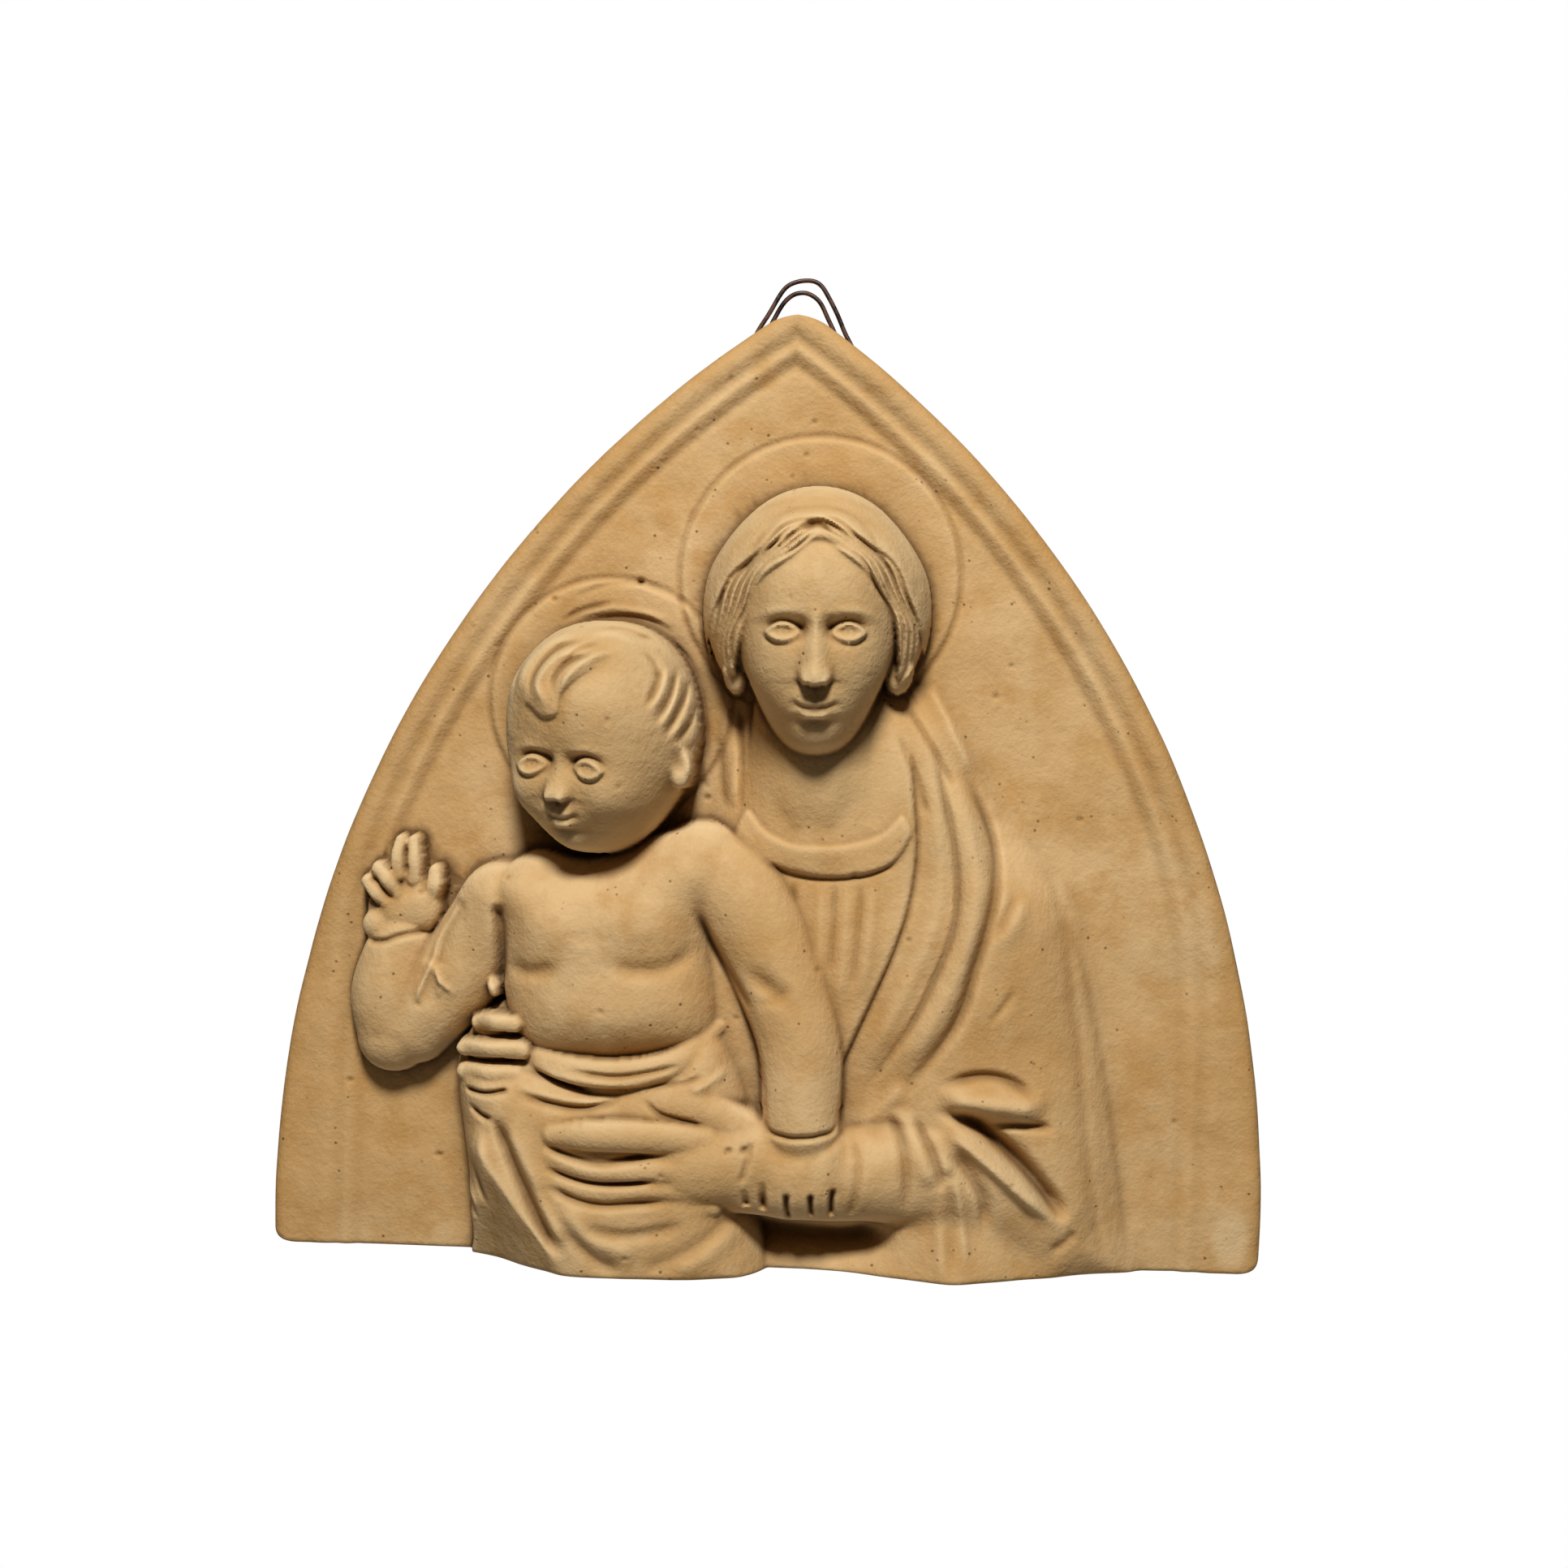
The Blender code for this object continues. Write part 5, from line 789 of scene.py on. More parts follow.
def child_head(c):
    """Head, ear, forelock and short tousled hair."""
    head(c, (-50.5, 157), 26.0, 69.0, 22.0, -8.0, 3.0, True, 1.0)
    centre = (-49.5, 159)
    face = [(-72.5, 155.5), (-71, 165.5), (-66, 162), (-61, 163), (-59, 170), (-49, 177), (-39, 174),
        (-35.5, 165), (-31.5, 155.5), (-29.5, 144), (-32, 132), (-43.5, 121.5), (-60, 121),
        (-71.5, 130.5), (-75, 144.5)]
    part, x, z, d = c.depth_in(face, 30.0)
    cap = np.hypot((x - centre[0]) / 30.0, (z - centre[1]) / 36.0) < 1.0
    over = cap & (z > centre[1] - 14.0) & (c.h[part] > 24.0) & (d < 0)
    # the hair's edge is crisp at the forelock and soft at the temples
    temple = np.maximum(smooth_step((x - centre[0] + 6.0) / 8.0),
        smooth_step((centre[0] - 20.0 - x) / 4.0))
    rise = (1.0 - temple) * dome(-d / 2.2) + temple * smooth_step(-d / 9.0)
    c.h[part] += np.where(over, 1.7 * rise, 0.0)
    ear(c, (-27.5, 149), 38.5, (4.0, 6.6), 8.0, 1.0)
    for rise, width, line in (
        # forelock and the locks beside it
        (1.9, 1.5, [(-53, 182.5), (-58.5, 181), (-63.5, 178), (-67, 172.5), (-66, 168), (-63, 163.5)]),
        (-1.9, 0.8, [(-50.5, 180.5), (-57.5, 178.5), (-62, 174), (-63, 168.5)]),
        (1.6, 1.3, [(-43, 182), (-50.5, 180), (-56, 176.5), (-59, 172.5), (-60, 167.5)]),
        (-1.8, 0.8, [(-54, 185), (-62.5, 182), (-68.5, 175), (-70, 167)]),
        (1.4, 1.4, [(-56.5, 187), (-65.5, 183.5), (-72, 176), (-73.5, 166)]),
        (-1.6, 0.8, [(-58, 188.5), (-68, 185), (-74, 177), (-76, 167)]),
        (1.1, 1.2, [(-62, 188.5), (-71.5, 184), (-76, 175.5), (-77.5, 163.5)]),
        (-1.3, 0.7, [(-68, 187), (-74.5, 180.5), (-78.5, 170.5)]),
        (-1.2, 0.7, [(-49.5, 184), (-55.5, 182), (-59, 178)]),
        # short locks that sweep down over the temple to the ear
        (-1.8, 0.8, [(-33, 177.5), (-34, 172), (-36.5, 165.5)]),
        (1.4, 1.1, [(-31, 179), (-31.5, 172), (-35.5, 163)]),
        (-2.0, 0.8, [(-29, 178), (-30, 169.5), (-34, 160.5)]),
        (1.4, 1.1, [(-27.5, 177.5), (-28.5, 168.5), (-33, 158)]),
        (-2.0, 0.8, [(-25.5, 176), (-27, 167), (-32, 156)]),
        (1.4, 1.1, [(-24.5, 173), (-25.5, 164), (-30.5, 155)]),
        (-2.0, 0.8, [(-23, 170), (-24.5, 162.5), (-28.5, 155)]),
        (1.2, 1.1, [(-22, 166), (-23, 159.5), (-26, 154)]),
        (-1.2, 0.8, [(-38.5, 182), (-34.5, 178), (-34, 173.5)]),
        (1.0, 1.2, [(-39.5, 185.5), (-31, 182), (-27, 176.5)]),
        (-1.5, 0.8, [(-43, 187), (-33, 185.5), (-25.5, 179)]),
        (-1.5, 0.8, [(-52.5, 188.5), (-43, 188.5), (-34, 184)]),
        (1.1, 1.2, [(-55.5, 186), (-46, 186.5), (-37, 182.5)]),
        (-1.4, 0.8, [(-60.5, 191), (-51, 193), (-40, 192.5), (-30, 187.5)]),
        (0.9, 1.1, [(-64, 192.5), (-52.5, 195.5), (-41, 194.5), (-30.5, 190.5)]),
        (-1.3, 0.8, [(-67, 191), (-59.5, 195), (-49.5, 197.5)]),
    ):
        c.mark(line, width, rise, 0.3)


def carve(step):
    """The whole relief, from the ground up."""
    c = Clay(step)
    for part in (
        border, haloes, mantle, neck_and_collar, veil_falls, sleeve, hips_and_cloth, gripping_fingers, torso,
        reaching_arm, blessing_arm, cloth_folds, spread_hand, mother_head, child_head, trim_foot,
    ):
        part(c)
    return c


def half_width(z, corner):
    """Half the plaque's width at each height of the drawing."""
    z = np.asarray(z, float)
    middle = ARC_Z + math.sqrt((ARC - TIP_ROUND) ** 2 - (ARC - WIDTH / 2) ** 2)
    arc = np.sqrt(np.maximum(ARC ** 2 - (z - ARC_Z) ** 2, 0.0)) - (ARC - WIDTH / 2)
    tip = np.sqrt(np.maximum(TIP_ROUND ** 2 - (z - middle) ** 2, 0.0))
    joint = ARC_Z + (middle - ARC_Z) * ARC / (ARC - TIP_ROUND)
    half = np.where(z > joint, tip, arc)
    return half - quarter_round(z, corner)


def row_heights(step, corner):
    """Heights of the grid's rows, close together round the foot corners and at the tip."""
    low = corner * (1.0 - np.cos(np.linspace(0.0, math.pi / 2, int(1.6 * corner / step))))
    top = TALL - TIP_BAND * (1.0 - np.sin(np.linspace(0.0, math.pi / 2, int(1.6 * TIP_BAND / step))))
    middle = np.linspace(low[-1], top[0], int((top[0] - low[-1]) / step) + 1)
    return np.concatenate([low[:-1], middle, top[1:]])


class ClaySettings(bpy.types.PropertyGroup):
    """Sizes and colours of the fired clay."""

    plate: FloatProperty(
        name="Plate thickness", description="Thickness of the flat ground, from the back to the field",
        default=0.015, min=0.008, max=0.03, unit="LENGTH")
    relief: FloatProperty(
        name="Relief depth", description="How far the carving's full range stands in front of the field",
        default=0.046, min=0.01, max=0.08, unit="LENGTH")
    edge: FloatProperty(
        name="Edge rounding", description="Radius of the worn front edge round the arch",
        default=0.0035, min=0.0005, max=0.006, unit="LENGTH")
    foot: FloatProperty(
        name="Foot rounding", description="Radius of the front edge along the foot", default=0.0018,
        min=0.0005, max=0.005, unit="LENGTH")
    corner: FloatProperty(
        name="Foot corners", description="Radius of the two corners at the foot",
        default=0.0045, min=0.001, max=0.02, unit="LENGTH")
    fineness: FloatProperty(
        name="Carving step", description="Distance between the points that the relief is carved on",
        default=0.0004, min=0.0003, max=0.002, unit="LENGTH")
    rolling: FloatProperty(
        name="Rolling", description="How much the hand-smoothed surface rises and falls", default=0.0005,
        min=0.0, max=0.002, unit="LENGTH")
    pits: IntProperty(
        name="Small pits", description="Small pits scattered over the front", default=45, min=0, max=400)
    seed: IntProperty(
        name="Seed", description="Choice of the scattered pits and of the rolling", default=7, min=0)
    triangles: IntProperty(
        name="Triangles", description="Most triangles that the finished relief may have",
        default=192000, min=20000, max=199000)
    ground: FloatVectorProperty(
        name="Clay", description="Buff of the flat ground", subtype="COLOR", size=3,
        default=(0.540, 0.330, 0.135), min=0.0, max=1.0)
    # Pale clay for the mottling, the rubbing and the painted highlight on the heights.
    rubbed_and_highlight: FloatVectorProperty(
        name="Rubbed clay", description="Paler clay where hands and cloth have rubbed the high places",
        subtype="COLOR", size=3, default=(0.690, 0.500, 0.270), min=0.0, max=1.0)
    fired: FloatVectorProperty(
        name="Fired edge", description="Orange-brown bloom of the rim", subtype="COLOR", size=3,
        default=(0.470, 0.255, 0.080), min=0.0, max=1.0)
    ash: FloatVectorProperty(
        name="Ash grey", description="Greyish bloom on the veil, the mantle and the faces",
        subtype="COLOR", size=3, default=(0.440, 0.310, 0.150), min=0.0, max=1.0)
    # Dark brown for the pinholes, the dirt and the painted shade in the hollows.
    dirt_and_shade: FloatVectorProperty(
        name="Dirt", description="Brown dirt in the slits and hollows", subtype="COLOR", size=3,
        default=(0.080, 0.036, 0.009), min=0.0, max=1.0)


class WireSettings(bpy.types.PropertyGroup):
    """Sizes and colours of the hanging wire."""

    thickness: FloatProperty(
        name="Wire thickness", description="Diameter of the wire", default=0.0014, min=0.0006,
        max=0.003, unit="LENGTH")
    outer_depth: FloatProperty(
        name="Outer strand", description="From the plaque's back to the outer strand", default=0.0078,
        min=0.002, max=0.013, unit="LENGTH")
    inner_depth: FloatProperty(
        name="Inner strand", description="From the plaque's back to the inner strand", default=0.0051,
        min=0.002, max=0.013, unit="LENGTH")
    clearance: FloatProperty(
        name="Socket clearance", description="Gap between the wire and the clay round it",
        default=0.0003, min=0.0001, max=0.001, unit="LENGTH")
    sides: IntProperty(
        name="Sides", description="Sides of the wire's round section", default=16, min=8, max=32)
    iron: FloatVectorProperty(
        name="Iron", description="Dark skin of the annealed wire", subtype="COLOR", size=3,
        default=(0.045, 0.032, 0.030), min=0.0, max=1.0)
    rust: FloatVectorProperty(
        name="Rust", description="Patches of thin rust", subtype="COLOR", size=3,
        default=(0.110, 0.045, 0.022), min=0.0, max=1.0)


class StudioSettings(bpy.types.PropertyGroup):
    """Camera, lights and floor."""

    distance: FloatProperty(
        name="Camera distance", description="From the camera to the middle of the plaque", default=0.6,
        min=0.3, max=3.0, unit="LENGTH")
    azimuth: FloatProperty(
        name="Azimuth", description="How far the camera stands to the right of straight ahead",
        default=math.radians(1.42), unit="ROTATION")
    elevation: FloatProperty(
        name="Elevation", description="How far the camera stands above the middle", unit="ROTATION",
        default=math.radians(1.612))
    roll: FloatProperty(
        name="Roll", description="Lean of the camera about its own view", unit="ROTATION",
        default=math.radians(1.581))
    lens: FloatProperty(
        name="Lens", description="Focal length on a 36 mm sensor", default=44.57, min=20.0, max=120.0,
        unit="CAMERA")
    key: FloatProperty(
        name="Lamp", description="Power of the soft lamp above the camera", default=24.0, min=0.0,
        max=1000.0, unit="POWER")
    back: FloatProperty(
        name="Back lamp", description="Power of the lamp that lights the flat back", default=11.0,
        min=0.0, max=1000.0, unit="POWER")
    lamp_width: FloatProperty(
        name="Lamp width", description="Across the lamp's round face", default=0.30, min=0.05, max=3.0,
        unit="LENGTH")
    lamp_distance: FloatProperty(
        name="Lamp distance", description="From the lamp to the middle of the plaque", default=1.4,
        min=0.8, max=10.0, unit="LENGTH")
    fill: FloatProperty(
        name="Fill light", description="Strength of the light from all round", default=0.035, min=0.0,
        max=5.0)
    drop: FloatProperty(
        name="Floor drop", description="How far the floor lies below the plaque's foot", default=0.55,
        min=0.0005, max=2.0, unit="LENGTH")
    spread: FloatProperty(
        name="Floor width", description="Width and depth of the floor", default=1.3, min=0.5, max=20.0,
        unit="LENGTH")
    floor: FloatVectorProperty(
        name="Floor", description="Colour of the plain floor", subtype="COLOR", size=3,
        default=(0.68, 0.67, 0.65), min=0.0, max=1.0)


def link(obj):
    """Puts the object into the scene."""
    bpy.context.scene.collection.objects.link(obj)
    return obj


def baked(obj):
    """The object with its modifiers worked into its mesh."""
    graph = bpy.context.evaluated_depsgraph_get()
    made = bpy.data.meshes.new_from_object(obj.evaluated_get(graph))
    obj.modifiers.clear()
    old = obj.data
    obj.data = made
    bpy.data.meshes.remove(old)
    made.name = obj.name
    return obj


def add_node(tree, kind, inputs=None, **settings):
    """A node with its settings, and a value or a link for each input that is named."""
    made = tree.nodes.new(kind)
    for name, value in settings.items():
        setattr(made, name, value)
    for name, value in (inputs or {}).items():
        if isinstance(value, bpy.types.NodeSocket):
            tree.links.new(value, made.inputs[name])
        else:
            made.inputs[name].default_value = value
    return made


def blended(tree, share, first, second):
    """A colour between first and second: the share is a number or a socket."""
    mixed = add_node(tree, "ShaderNodeMix", data_type="RGBA")
    for place, value in ((0, share), (6, first), (7, second)):
        if isinstance(value, bpy.types.NodeSocket):
            tree.links.new(value, mixed.inputs[place])
        elif place:
            mixed.inputs[place].default_value = (*value, 1.0)
        else:
            mixed.inputs[place].default_value = value
    return mixed.outputs[2]


def ranged(tree, value, low, high, to_low=0.0, to_high=1.0):
    """The value's span from low to high laid onto another span, and held at its ends."""
    made = add_node(tree, "ShaderNodeMapRange", {
        "Value": value, "From Min": low, "From Max": high, "To Min": to_low, "To Max": to_high})
    return made.outputs["Result"]


def speckle(tree, where, scale, detail=3.0, roughness=0.5):
    """A cloud of values round 0.5."""
    made = add_node(tree, "ShaderNodeTexNoise", {
        "Vector": where, "Scale": scale, "Detail": detail, "Roughness": roughness})
    return made.outputs["Fac"]


def clay_material(clay):
    """Unglazed buff terracotta: mottled, paler from rubbing and painted highlight on its heights, grimy and
    painted with shade in its hollows, with pinholes.
    """
    made = bpy.data.materials.new("fired_clay")
    made.use_nodes = True
    tree = made.node_tree
    shader = tree.nodes["Principled BSDF"]
    where = add_node(tree, "ShaderNodeTexCoord").outputs["Object"]

    def worn(name):
        return add_node(tree, "ShaderNodeAttribute", attribute_name=name).outputs["Fac"]

    clouds = speckle(tree, where, 18.0, 3.0)
    mottle = speckle(tree, where, 80.0, 5.0, 0.6)
    grain = speckle(tree, where, 900.0, 3.0, 0.6)
    drawn = add_node(tree, "ShaderNodeMapping", {"Vector": where, "Scale": (60.0, 60.0, 7.0)}).outputs[0]
    streaks = speckle(tree, drawn, 1.0, 2.0)
    ripples = speckle(tree, where, 190.0, 3.0, 0.55)
    # Pinholes: small round spots in the cells of a loose pattern, with most cells left empty.
    cells = add_node(tree, "ShaderNodeTexVoronoi", {"Vector": where, "Scale": 330.0})
    holes = ranged(tree, cells.outputs["Distance"], 0.08, 0.20, 0.75, 0.0)
    chosen = ranged(tree, speckle(tree, where, 150.0, 1.0), 0.60, 0.68)
    pores = add_node(tree, "ShaderNodeMath", {0: holes, 1: chosen}, operation="MULTIPLY").outputs[0]
    colour = blended(tree, ranged(tree, clouds, 0.42, 0.60, 0.0, 0.45), clay.ground, clay.rubbed_and_highlight)
    colour = blended(tree, ranged(tree, mottle, 0.46, 0.66, 0.0, 0.65), colour, clay.fired)
    colour = blended(tree, ranged(tree, streaks, 0.54, 0.68, 0.0, 0.42), colour, clay.fired)
    colour = blended(tree, worn("rim"), colour, clay.fired)
    dusty = ranged(tree, speckle(tree, where, 30.0, 3.0), 0.42, 0.60, 0.35, 1.0)
    dusty = add_node(tree, "ShaderNodeMath", {0: dusty, 1: worn("ash")}, operation="MULTIPLY").outputs[0]
    # Painted highlight together with rubbing: the heights lighten towards the pale clay.
    colour = blended(tree, worn("high"), colour, clay.rubbed_and_highlight)
    colour = blended(tree, dusty, colour, clay.ash)
    colour = blended(tree, ranged(tree, grain, 0.55, 0.80, 0.0, 0.30), colour, clay.rubbed_and_highlight)
    colour = blended(tree, ranged(tree, grain, 0.20, 0.42, 0.30, 0.0), colour, clay.fired)
    colour = blended(tree, pores, colour, clay.dirt_and_shade)
    # Painted shade together with dirt: the hollows and the feet of forms darken towards the dark brown.
    colour = blended(tree, worn("hollow"), colour, clay.dirt_and_shade)
    tree.links.new(colour, shader.inputs["Base Color"])
    tree.links.new(ranged(tree, mottle, 0.3, 0.7, 0.84, 0.96), shader.inputs["Roughness"])
    shader.inputs["Specular IOR Level"].default_value = 0.25
    rough = add_node(tree, "ShaderNodeMath", {0: grain, 1: pores}, operation="SUBTRACT")
    fine = add_node(tree, "ShaderNodeBump", {
        "Height": rough.outputs[0], "Strength": 0.6, "Distance": 0.0004})
    coarse = add_node(tree, "ShaderNodeBump", {
        "Height": ripples, "Strength": 0.5, "Distance": 0.0012, "Normal": fine.outputs["Normal"]})
    tree.links.new(coarse.outputs["Normal"], shader.inputs["Normal"])
    return made


def iron_material(wire):
    """Dark annealed iron with thin rust in patches."""
    made = bpy.data.materials.new("rusty_iron")
    made.use_nodes = True
    tree = made.node_tree
    shader = tree.nodes["Principled BSDF"]
    where = add_node(tree, "ShaderNodeTexCoord").outputs["Object"]
    patches = speckle(tree, where, 260.0, 4.0, 0.6)
    scale = speckle(tree, where, 1900.0, 3.0)
    rusted = ranged(tree, patches, 0.42, 0.62)
    tree.links.new(blended(tree, rusted, wire.iron, wire.rust), shader.inputs["Base Color"])
    tree.links.new(ranged(tree, rusted, 0.0, 1.0, 0.36, 0.72), shader.inputs["Roughness"])
    tree.links.new(ranged(tree, rusted, 0.0, 1.0, 0.85, 0.15), shader.inputs["Metallic"])
    bump = add_node(tree, "ShaderNodeBump", {"Height": scale, "Strength": 0.4, "Distance": 0.00008})
    tree.links.new(bump.outputs["Normal"], shader.inputs["Normal"])
    return made


def floor_material(colour):
    """Plain matt paint."""
    made = bpy.data.materials.new("pale_floor")
    made.use_nodes = True
    shader = made.node_tree.nodes["Principled BSDF"]
    shader.inputs["Base Color"].default_value = (*colour, 1.0)
    shader.inputs["Roughness"].default_value = 0.95
    return made


def weathered(carved, clay):
    """Takes the tool's sharpness off, lets the ground roll a little, and adds chips and pits."""
    carved.h = carved.blur(SOFTEN)
    chance = np.random.default_rng(clay.seed)
    x, z = np.meshgrid(carved.x, carved.z)
    for wave in ROLLING:
        for turn, phase in chance.uniform(0.0, 2.0 * math.pi, (4, 2)):
            run = 2.0 * math.pi * (x * math.cos(turn) + z * math.sin(turn)) / wave
            carved.h += 250.0 * clay.rolling * np.sin(run + phase) * wave / ROLLING[0]
    for spot, size, depth in PITS:
        carved.bump(spot, (size, 0.8 * size), -depth)
    for _ in range(clay.pits):
        spot = (chance.uniform(-0.5, 0.5) * WIDTH, chance.uniform(0.02, 0.95) * TALL)
        size = chance.uniform(0.5, 0.9)
        carved.bump(spot, (size, size), -0.8 * size)
    return carved


def to_row(x, h, z, clay):
    """From the drawing, in millimetres, to the plaque's place in the frame."""
    sx, sz = PLAQUE_WIDTH / WIDTH, PLAQUE_HEIGHT / TALL
    depth = clay.plate * np.minimum(h, FIELD) / FIELD + clay.relief * np.maximum(h - FIELD, 0.0) / RELIEF
    return np.stack([CENTRE_LINE + x * sx, PEAK.y - depth, FOOT.z + z * sz], axis=-1)


def relief_mesh(carved, clay):
    """A grid drawn to the arch and pressed to the carved heights, with its rim and flat back."""
    step = 1.25 * carved.step
    corner = clay.corner * WIDTH / PLAQUE_WIDTH
    levels = row_heights(step, corner)
    bm = bmesh.new()
    bmesh.ops.create_grid(bm, x_segments=int(WIDTH / step), y_segments=len(levels) - 1, size=1.0)
    places = np.array([v.co[:2] for v in bm.verts])
    share = (places[:, 1] + 1.0) / 2.0
    z = np.interp(share * (len(levels) - 1), np.arange(len(levels)), levels)
    half = half_width(z, corner)
    half[share > 0.99999] = 0.0
    x = half * places[:, 0]
    h = carved.sample(x + tip_lean(z), z)
    inset = np.minimum(ARC - np.hypot(np.abs(x) + ARC - WIDTH / 2, z - ARC_Z), half - np.abs(x))
    h -= quarter_round(inset, clay.edge * WIDTH / PLAQUE_WIDTH)
    h -= quarter_round(z, clay.foot * WIDTH / PLAQUE_WIDTH)
    # Nothing stands further out than the solid does.
    h = np.minimum(h, FIELD + RELIEF * (PEAK.y - FOOT.y - clay.plate) / clay.relief)
    for vert, place in zip(bm.verts, to_row(x + tip_lean(z), h, z, clay)):
        vert.co = place
    outline = [e for e in bm.edges if e.is_boundary]
    drawn = bmesh.ops.extrude_edge_only(bm, edges=outline)["geom"]
    for vert in drawn:
        if isinstance(vert, bmesh.types.BMVert):
            vert.co.y = PEAK.y
    back_edges = [e for e in drawn if isinstance(e, bmesh.types.BMEdge) and e.is_boundary]
    bmesh.ops.contextual_create(bm, geom=back_edges)
    bmesh.ops.remove_doubles(bm, verts=bm.verts, dist=1e-6)
    bmesh.ops.recalc_face_normals(bm, faces=bm.faces)
    made = bpy.data.meshes.new("fired_plaque")
    bm.to_mesh(made)
    bm.free()
    return made


def wear_and_painted_light(obj, carved, clay):
    """Writes how hollow, high, near the rim and ashy each point is, for the clay's colours: dirt with
    painted shade in the hollows, rubbing with painted highlight on the heights.
    """
    count = len(obj.data.vertices)
    co = np.empty(count * 3)
    obj.data.vertices.foreach_get("co", co)
    co = co.reshape(-1, 3)
    x = (co[:, 0] - CENTRE_LINE) * WIDTH / PLAQUE_WIDTH
    z = (co[:, 2] - FOOT.z) * TALL / PLAQUE_HEIGHT
    front = smooth_step((PEAK.y - co[:, 1]) / (0.8 * clay.plate) - 0.2)
    near, wide, deep = (carved.blur(size) - carved.h for size in (SLIT_BLUR, FOLD_BLUR, FORM_BLUR))
    # Slits take more dirt and painted shade than the foot of a tall form does; the wider blurs add painted
    # shade round the feet of the large forms, such as under the chin.
    tall = smooth_step((wide - 2.0) / 5.0)
    layers = {"hollow": (0.85 - 0.45 * tall) * np.clip(near / 1.5, 0.0, 1.0)}
    layers["hollow"] += 0.28 * np.clip(wide / 8.0, 0.0, 1.0) + 0.12 * smooth_step((deep - 2.0) / 9.0)
    # Painted highlight together with rubbed wear: small ridges and the tops of broad forms are lightened
    # where the lamp catches them.
    layers["high"] = 0.75 * np.clip(-near, 0.0, 1.0) + 0.40 * np.clip(-wide / 5.0, 0.0, 1.0)
    cx, cz = np.meshgrid(carved.x, carved.z)
    for (spot_x, spot_z), (across, up), share in SMUDGES:
        reach = np.hypot((cx - spot_x) / across, (cz - spot_z) / up)
        layers["high"] += share * (1.0 - smooth_step((reach - 0.7) / 0.6))
    inset, _ = arch_inset(cx, cz)
    layers["rim"] = 0.65 * (1.0 - smooth_step((inset - 1.0) / 7.0))
    layers["ash"] = 0.38 * smooth_step((carved.h - 22.0) / 10.0) * smooth_step((cz - 100.0) / 60.0)
    for name, field in layers.items():
        values = carved.sample(x, z, np.clip(field, 0.0, 1.0)) * front
        made = obj.data.attributes.new(name, "FLOAT", "POINT")
        made.data.foreach_set("value", values.astype(np.float32))


def wire_path(wire):
    """Middle line of the wire: the outer strand, a turn in the right socket and the inner strand."""
    out, back = wire.outer_depth, wire.inner_depth
    outer = [(-14.4, -12.6), (-13.0, -5.2), (-8.9, 2.0), (-4.7, 9.2), (-1.0, 11.6), (3.6, 12.1),
             (6.6, 10.7), (9.0, 7.2), (11.8, 2.0), (14.2, -3.4), (16.8, -8.4)]
    turn = [(17.4, -12.6), (15.2, -15.0), (12.8, -12.2)]
    inner = [(11.7, -4.7), (8.8, 1.6), (6.6, 5.9), (4.2, 8.1), (1.5, 9.0), (-1.7, 8.4),
             (-4.6, 5.9), (-7.2, 1.4), (-9.4, -3.5), (-10.6, -10.4)]
    rows = [(x, z, out) for x, z in outer]
    rows += [(x, z, out + (back - out) * (i + 1) / 4) for i, (x, z) in enumerate(turn)]
    rows += [(x, z, back) for x, z in inner]
    line = curve(rows, 6)
    tip_x = CENTRE_LINE + tip_lean(TALL) * PLAQUE_WIDTH / WIDTH
    return [Vector((tip_x + x / 1000.0, PEAK.y - depth, PEAK.z + z / 1000.0)) for x, z, depth in line]


def round_bar(name, line, radius, sides, extend=0.0):
    """A round bar drawn along the line: a circle extruded from point to point, with capped ends."""
    line = list(line)
    line[0] = line[0] + (line[0] - line[1]).normalized() * extend
    line[-1] = line[-1] + (line[-1] - line[-2]).normalized() * extend
    bm = bmesh.new()
    ring = bmesh.ops.create_circle(bm, cap_ends=False, segments=sides, radius=radius)["verts"]
    heading = (line[1] - line[0]).normalized()
    turn = Vector((0.0, 0.0, 1.0)).rotation_difference(heading).to_matrix().to_4x4()
    bmesh.ops.transform(bm, matrix=Matrix.Translation(line[0]) @ turn, verts=ring)
    edges = list(bm.edges)
    bmesh.ops.contextual_create(bm, geom=edges)
    for i in range(1, len(line)):
        drawn = bmesh.ops.extrude_edge_only(bm, edges=edges)["geom"]
        ring = [v for v in drawn if isinstance(v, bmesh.types.BMVert)]
        edges = [e for e in drawn if isinstance(e, bmesh.types.BMEdge)]
        run = (line[min(i + 1, len(line) - 1)] - line[i - 1]).normalized()
        turn = heading.rotation_difference(run).to_matrix().to_4x4()
        heading = run
        move = Matrix.Translation(line[i]) @ turn @ Matrix.Translation(-line[i - 1])
        bmesh.ops.transform(bm, matrix=move, verts=ring)
    bmesh.ops.contextual_create(bm, geom=edges)
    bmesh.ops.recalc_face_normals(bm, faces=bm.faces)
    made = bpy.data.meshes.new(name)
    bm.to_mesh(made)
    bm.free()
    made.shade_smooth()
    return link(bpy.data.objects.new(name, made))


